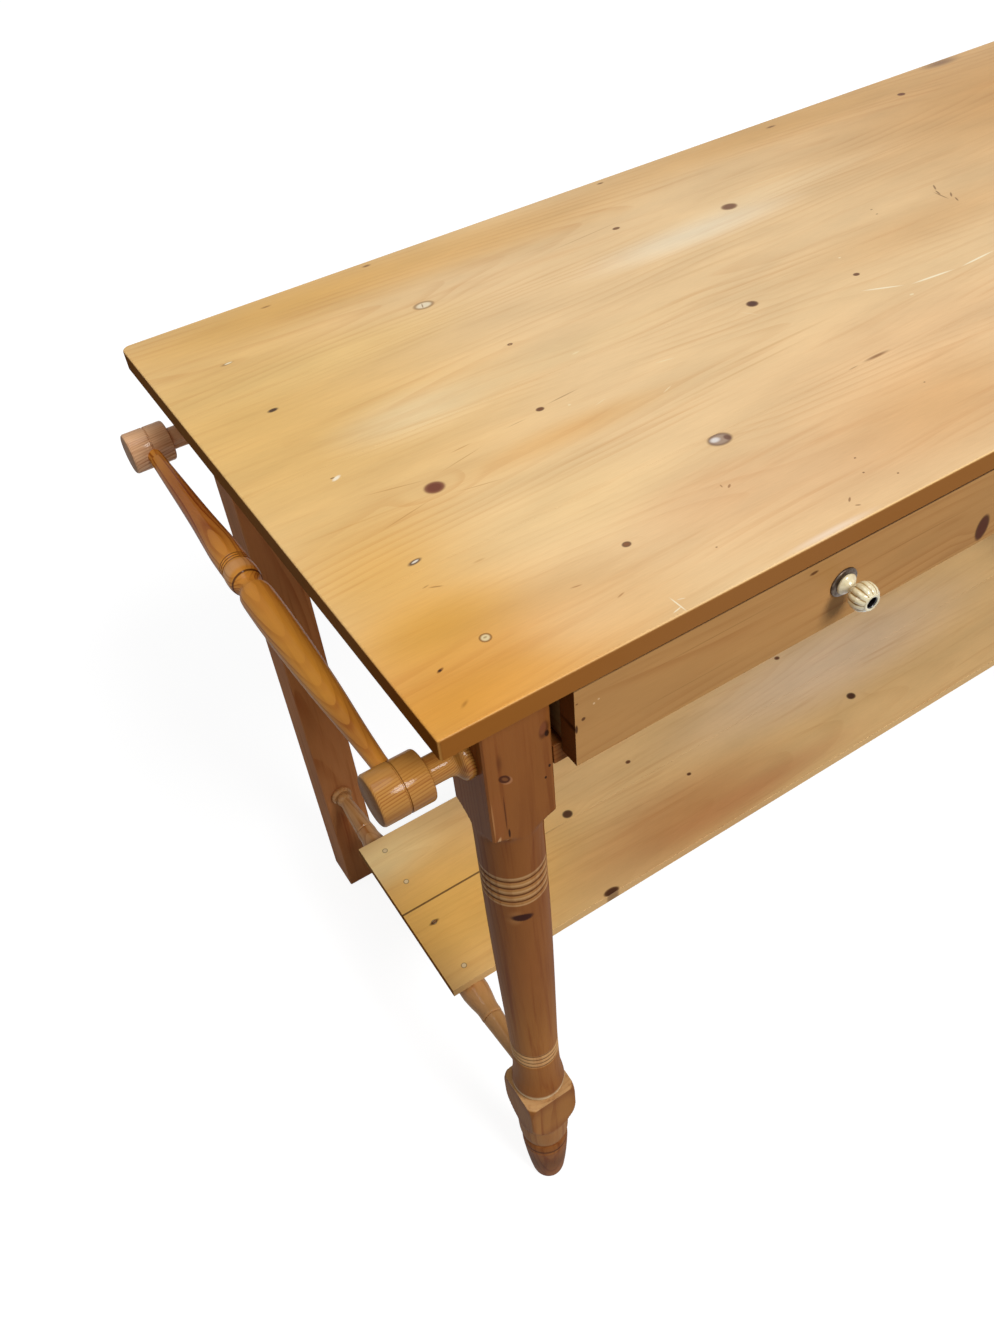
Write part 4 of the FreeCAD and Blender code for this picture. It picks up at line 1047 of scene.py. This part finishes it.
class PINETABLE_OT_shelf(bpy.types.Operator):
    """The two shelf boards and their nails."""

    bl_idname = "pine_table.shelf"
    bl_label = "Shelf"

    def execute(self, context):
        colour, late = context.scene.pine_table_finish.shelf, "#d0a272"
        # The shelf is less worn than the other boards.
        arris = context.scene.pine_table_boards.board_arris * 0.4
        # The pale patch at the back of the left end, where the shelf lies open to the light, is painted
        # light.
        washes = ovals(
            (90, 290, 290, 170, "#f2b858", 0.8), (50, 400, 130, 50, "#ffe0a0", 0.85),
            (420, 235, 250, 80, "#c9854a", 0.65), (760, 330, 360, 90, "#ead0b2", 0.7),
            (520, 215, 240, 24, "#c88655", 0.5), soft=0.9,
        )
        seam = Mark((90, 315), (230, 1.9), "#4a2c14", 0.85, 0.6)
        # Each nail is sunk and filled level, so it shows as a pale spot in a thin dark ring.
        spots = rounds(NAIL_COLUMNS, NAIL_ROWS, 0, 610, 4.1, "#5a3a20")
        spots += [Mark((x, y), (3.3, 3.2), "#edd2a2", 0.9, 0.3) for x in NAIL_COLUMNS for y in NAIL_ROWS]
        spots += ovals(
            (71, 285, 9, 3.4, "#4a2412", 0.9, 0.6, 8), (72, 285.4, 3.4, 1.2, "#b07a48", 0.7, 0.6, 8)
        )
        # Each board's front and back edges, and its pith across and up.
        boards = {"front": (193, 315, 228, 176), "rear": (315, 435, 390, 178)}
        for board, (first, last, *pith) in boards.items():
            near = [spot for spot in spots if first < spot.at[1] < last]
            finish = pine(
                "Waxed Pine Shelf " + board, "X", colour, late, pith, washes, SHELF_KNOTS[board],
                (seam, *near), 0.05, 6.0, 0.12, 0.2, edge="#dcb27c", edge_share=0.4, coat=0.25, polish=0.35,
            )
            node = "shelf_board_" + board
            settle(softened(node, arris, finish), "table_frame", "shelf_pine", node)
        dress("shelf_nails", pine("Filled Nail Heads", "X", colour, late, (228, 176), (), (), spots))
        return {"FINISHED"}


class PINETABLE_OT_drawers(bpy.types.Operator):
    """The two drawers' fronts and boxes."""

    bl_idname = "pine_table.drawers"
    bl_label = "Drawers"

    def execute(self, context):
        colours = context.scene.pine_table_finish
        arris = context.scene.pine_table_boards.board_arris
        front = pine(
            "Waxed Pine Drawer Fronts", "X", colours.drawer, "#c8935c", (30, 846), (), DRAWER_KNOTS,
            DRAWER_MARKS, 0.03, 7.0, 0.26, 0.2, coat=0.15, polish=0.35,
        )
        bare = (colours.bare, "#d8b07e", (200, 760))
        side = pine("Planed Pine Drawer Sides", "Y", *bare, contrast=0.4, streak=0.3)
        cross = pine("Planed Pine Drawer Bottoms", "X", *bare, contrast=0.4, streak=0.3)
        parts = {"side_left": side, "side_right": side, "back": cross, "bottom": cross}
        for hand in KNOB_PLACES:
            body = hand + "_drawer"
            settle(softened(body + "_front", arris, front), body, "drawer_pine", body + "_front")
            for part, finish in parts.items():
                node = f"{body}_{part}"
                settle(softened(node, arris, finish), body, "bare_pine", node)
        return {"FINISHED"}


class PINETABLE_OT_knobs(bpy.types.Operator):
    """The drawers' lobed knobs with their roses, bolts and nuts."""

    bl_idname = "pine_table.knobs"
    bl_label = "Knobs"

    def execute(self, context):
        sizes = context.scene.pine_table_turning
        colours = context.scene.pine_table_finish
        glaze = glazed_ceramic("Glazed Ceramic Knob", colours.cream, colours.gilt)
        bronze = worked_metal("Antique Bronze Rose", "#62564b", "#4a3d34", 0.3, 4.0)
        # The bolt and nut are near black as a painted shade at the bottom of the knob's hole.
        steel = worked_metal("Steel Bolt Darkened As Painted Shade", "#0f0e11", "#070608", 0.6, 1.5)
        outline, first, last = knob_outline()
        # The grooves run out smoothly at both ends of the head.
        depths = {}
        for i in range(first, last):
            share = (i - first) / (last - first - 1)
            depths[i] = sizes.lobe_depth * math.sin(math.pi * min(1.0, 0.04 + share * 0.96)) ** 0.6
        for hand, x in KNOB_PLACES.items():
            start = place(x, 0, KNOB_HEIGHT)
            rose = turned_piece("turned_rose_" + hand, rose_outline(), bronze, start, TOWARDS_FRONT)
            settle(rose, hand + "_drawer", "bronze", hand + "_knob_rose")
            knob = turned_piece(
                "lobed_knob_" + hand, outline, glaze, start, TOWARDS_FRONT, lobes=sizes.knob_lobes,
                lobe_depths=depths,
            )
            settle(knob, hand + "_drawer", "glazed_ceramic", hand + "_knob")
            dress(hand + "_knob_bolt", steel)
            dress(hand + "_knob_nut", steel)
        return {"FINISHED"}


class PINETABLE_OT_stage(bpy.types.Operator):
    """Floor, lamps, room light and camera."""

    bl_idname = "pine_table.stage"
    bl_label = "Stage"

    def execute(self, context):
        light = context.scene.pine_table_stage
        floor_mesh = bpy.data.meshes.new("floor")
        corners = [(-40, -40, 0), (40, -40, 0), (40, 40, 0), (-40, 40, 0)]
        floor_mesh.from_pydata(corners, [], [(0, 1, 2, 3)])
        floor_mesh.materials.append(pale_floor())
        new_object("floor", floor_mesh)
        for name, spot, size, power, aim in (
            ("front_lamp", (0.4, -4.0, 4.9), 2.2, light.key_power, (0, 0, 0.5)),
            ("overhead_lamp", (-1.3, 0.0, 4.4), 2.4, light.fill_power, (-0.2, 0, 0.6)),
        ):
            lamp = bpy.data.lights.new(name, "AREA")
            lamp.shape = "DISK"
            lamp.size = size
            lamp.energy = power
            stand = new_object(name, lamp)
            stand.location = spot
            stand.rotation_euler = (Vector(spot) - Vector(aim)).to_track_quat("Z", "Y").to_euler()
        context.scene.world = room_light(light.room_light)
        camera = bpy.data.cameras.new("camera")
        camera.lens = 30.23
        camera.sensor_width = 36.0
        camera.clip_start = 0.02
        camera.clip_end = 200.0
        eye = new_object("camera", camera)
        right = (0.8434617, -0.5314745, -0.0781487)
        up = (0.4272935, 0.5756058, 0.6972075)
        back = (-0.3255651, -0.6214603, 0.7125970)
        turn = Matrix((right, up, back)).transposed().to_4x4()
        eye.matrix_world = Matrix.Translation((-0.78778, -0.70801, 1.42117)) @ turn
        context.scene.camera = eye
        context.scene.view_settings.view_transform = "Standard"
        return {"FINISHED"}


def seen_share(add):
    """1 for the eye, in gloss and through glass, and 0 for the light that falls on the table."""
    path = add("ShaderNodeLightPath", out=None).outputs
    seen = add(MOST, (path["Is Camera Ray"], path["Is Glossy Ray"]))
    return add(MOST, (seen, path["Is Transmission Ray"]))


def pale_floor():
    """Matt white floor that shows white to the eye and in gloss, and keeps a soft shadow."""
    material = bpy.data.materials.new("Matt White Floor")
    add = emptied(material)[1]
    seen = seen_share(add)
    away = add(LENGTH, (add(PLACE),))
    glow = add(TIMES, (seen, add(SMOOTH, (away, 0.8, 3.0, 0.88, 1.0))))
    paint = add(BLEND, {0: seen, 6: linear("#b4b4b4"), 7: linear("#8c8c8c")})
    matt = add("ShaderNodeBsdfDiffuse", {"Color": paint})
    white = add("ShaderNodeEmission", {"Color": (1, 1, 1, 1), "Strength": glow})
    add(OUTPUT, {"Surface": add("ShaderNodeAddShader", (matt, white))})
    return material


def room_light(strength):
    """A white room to the eye, and an even soft light on the table."""
    world = bpy.data.worlds.new("Pale Room")
    add = emptied(world)[1]
    even = add("ShaderNodeBackground", {"Color": (1, 1, 1, 1), "Strength": strength})
    white = add("ShaderNodeBackground", {"Color": (1, 1, 1, 1), "Strength": 1.0})
    mixed = add("ShaderNodeMixShader", (seen_share(add), even, white))
    add("ShaderNodeOutputWorld", {"Surface": mixed}, out=None)
    return world


PIECES = (
    PINETABLE_OT_top, PINETABLE_OT_front_legs, PINETABLE_OT_frame, PINETABLE_OT_stretchers,
    PINETABLE_OT_towel_rail, PINETABLE_OT_shelf, PINETABLE_OT_drawers, PINETABLE_OT_knobs, PINETABLE_OT_stage,
)
SETTINGS = {
    "pine_table_turning": PineTableTurning,
    "pine_table_boards": PineTableBoards,
    "pine_table_finish": PineTableFinish,
    "pine_table_stage": PineTableStage,
}


class PINETABLE_PT_panel(bpy.types.Panel):
    """Sizes and colours, and a button for each group of pieces."""

    bl_idname = "PINETABLE_PT_panel"
    bl_label = "Pine Table"
    bl_space_type = "VIEW_3D"
    bl_region_type = "UI"
    bl_category = "Pine Table"

    def draw(self, context):
        for name, group in SETTINGS.items():
            box = self.layout.box()
            box.label(text=group.__doc__)
            for setting in group.__annotations__:
                box.prop(getattr(context.scene, name), setting)
        for piece in PIECES:
            self.layout.operator(piece.bl_idname)


CLASSES = (*SETTINGS.values(), *PIECES, PINETABLE_PT_panel)


def register():
    for made in CLASSES:
        bpy.utils.register_class(made)
    for name, group in SETTINGS.items():
        setattr(bpy.types.Scene, name, PointerProperty(type=group))


def unregister():
    for name in SETTINGS:
        delattr(bpy.types.Scene, name)
    for made in reversed(CLASSES):
        bpy.utils.unregister_class(made)


def main():
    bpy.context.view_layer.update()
    register()
    for piece in PIECES:
        group, name = piece.bl_idname.split(".")
        getattr(getattr(bpy.ops, group), name)()


if __name__ == "__main__":
    main()
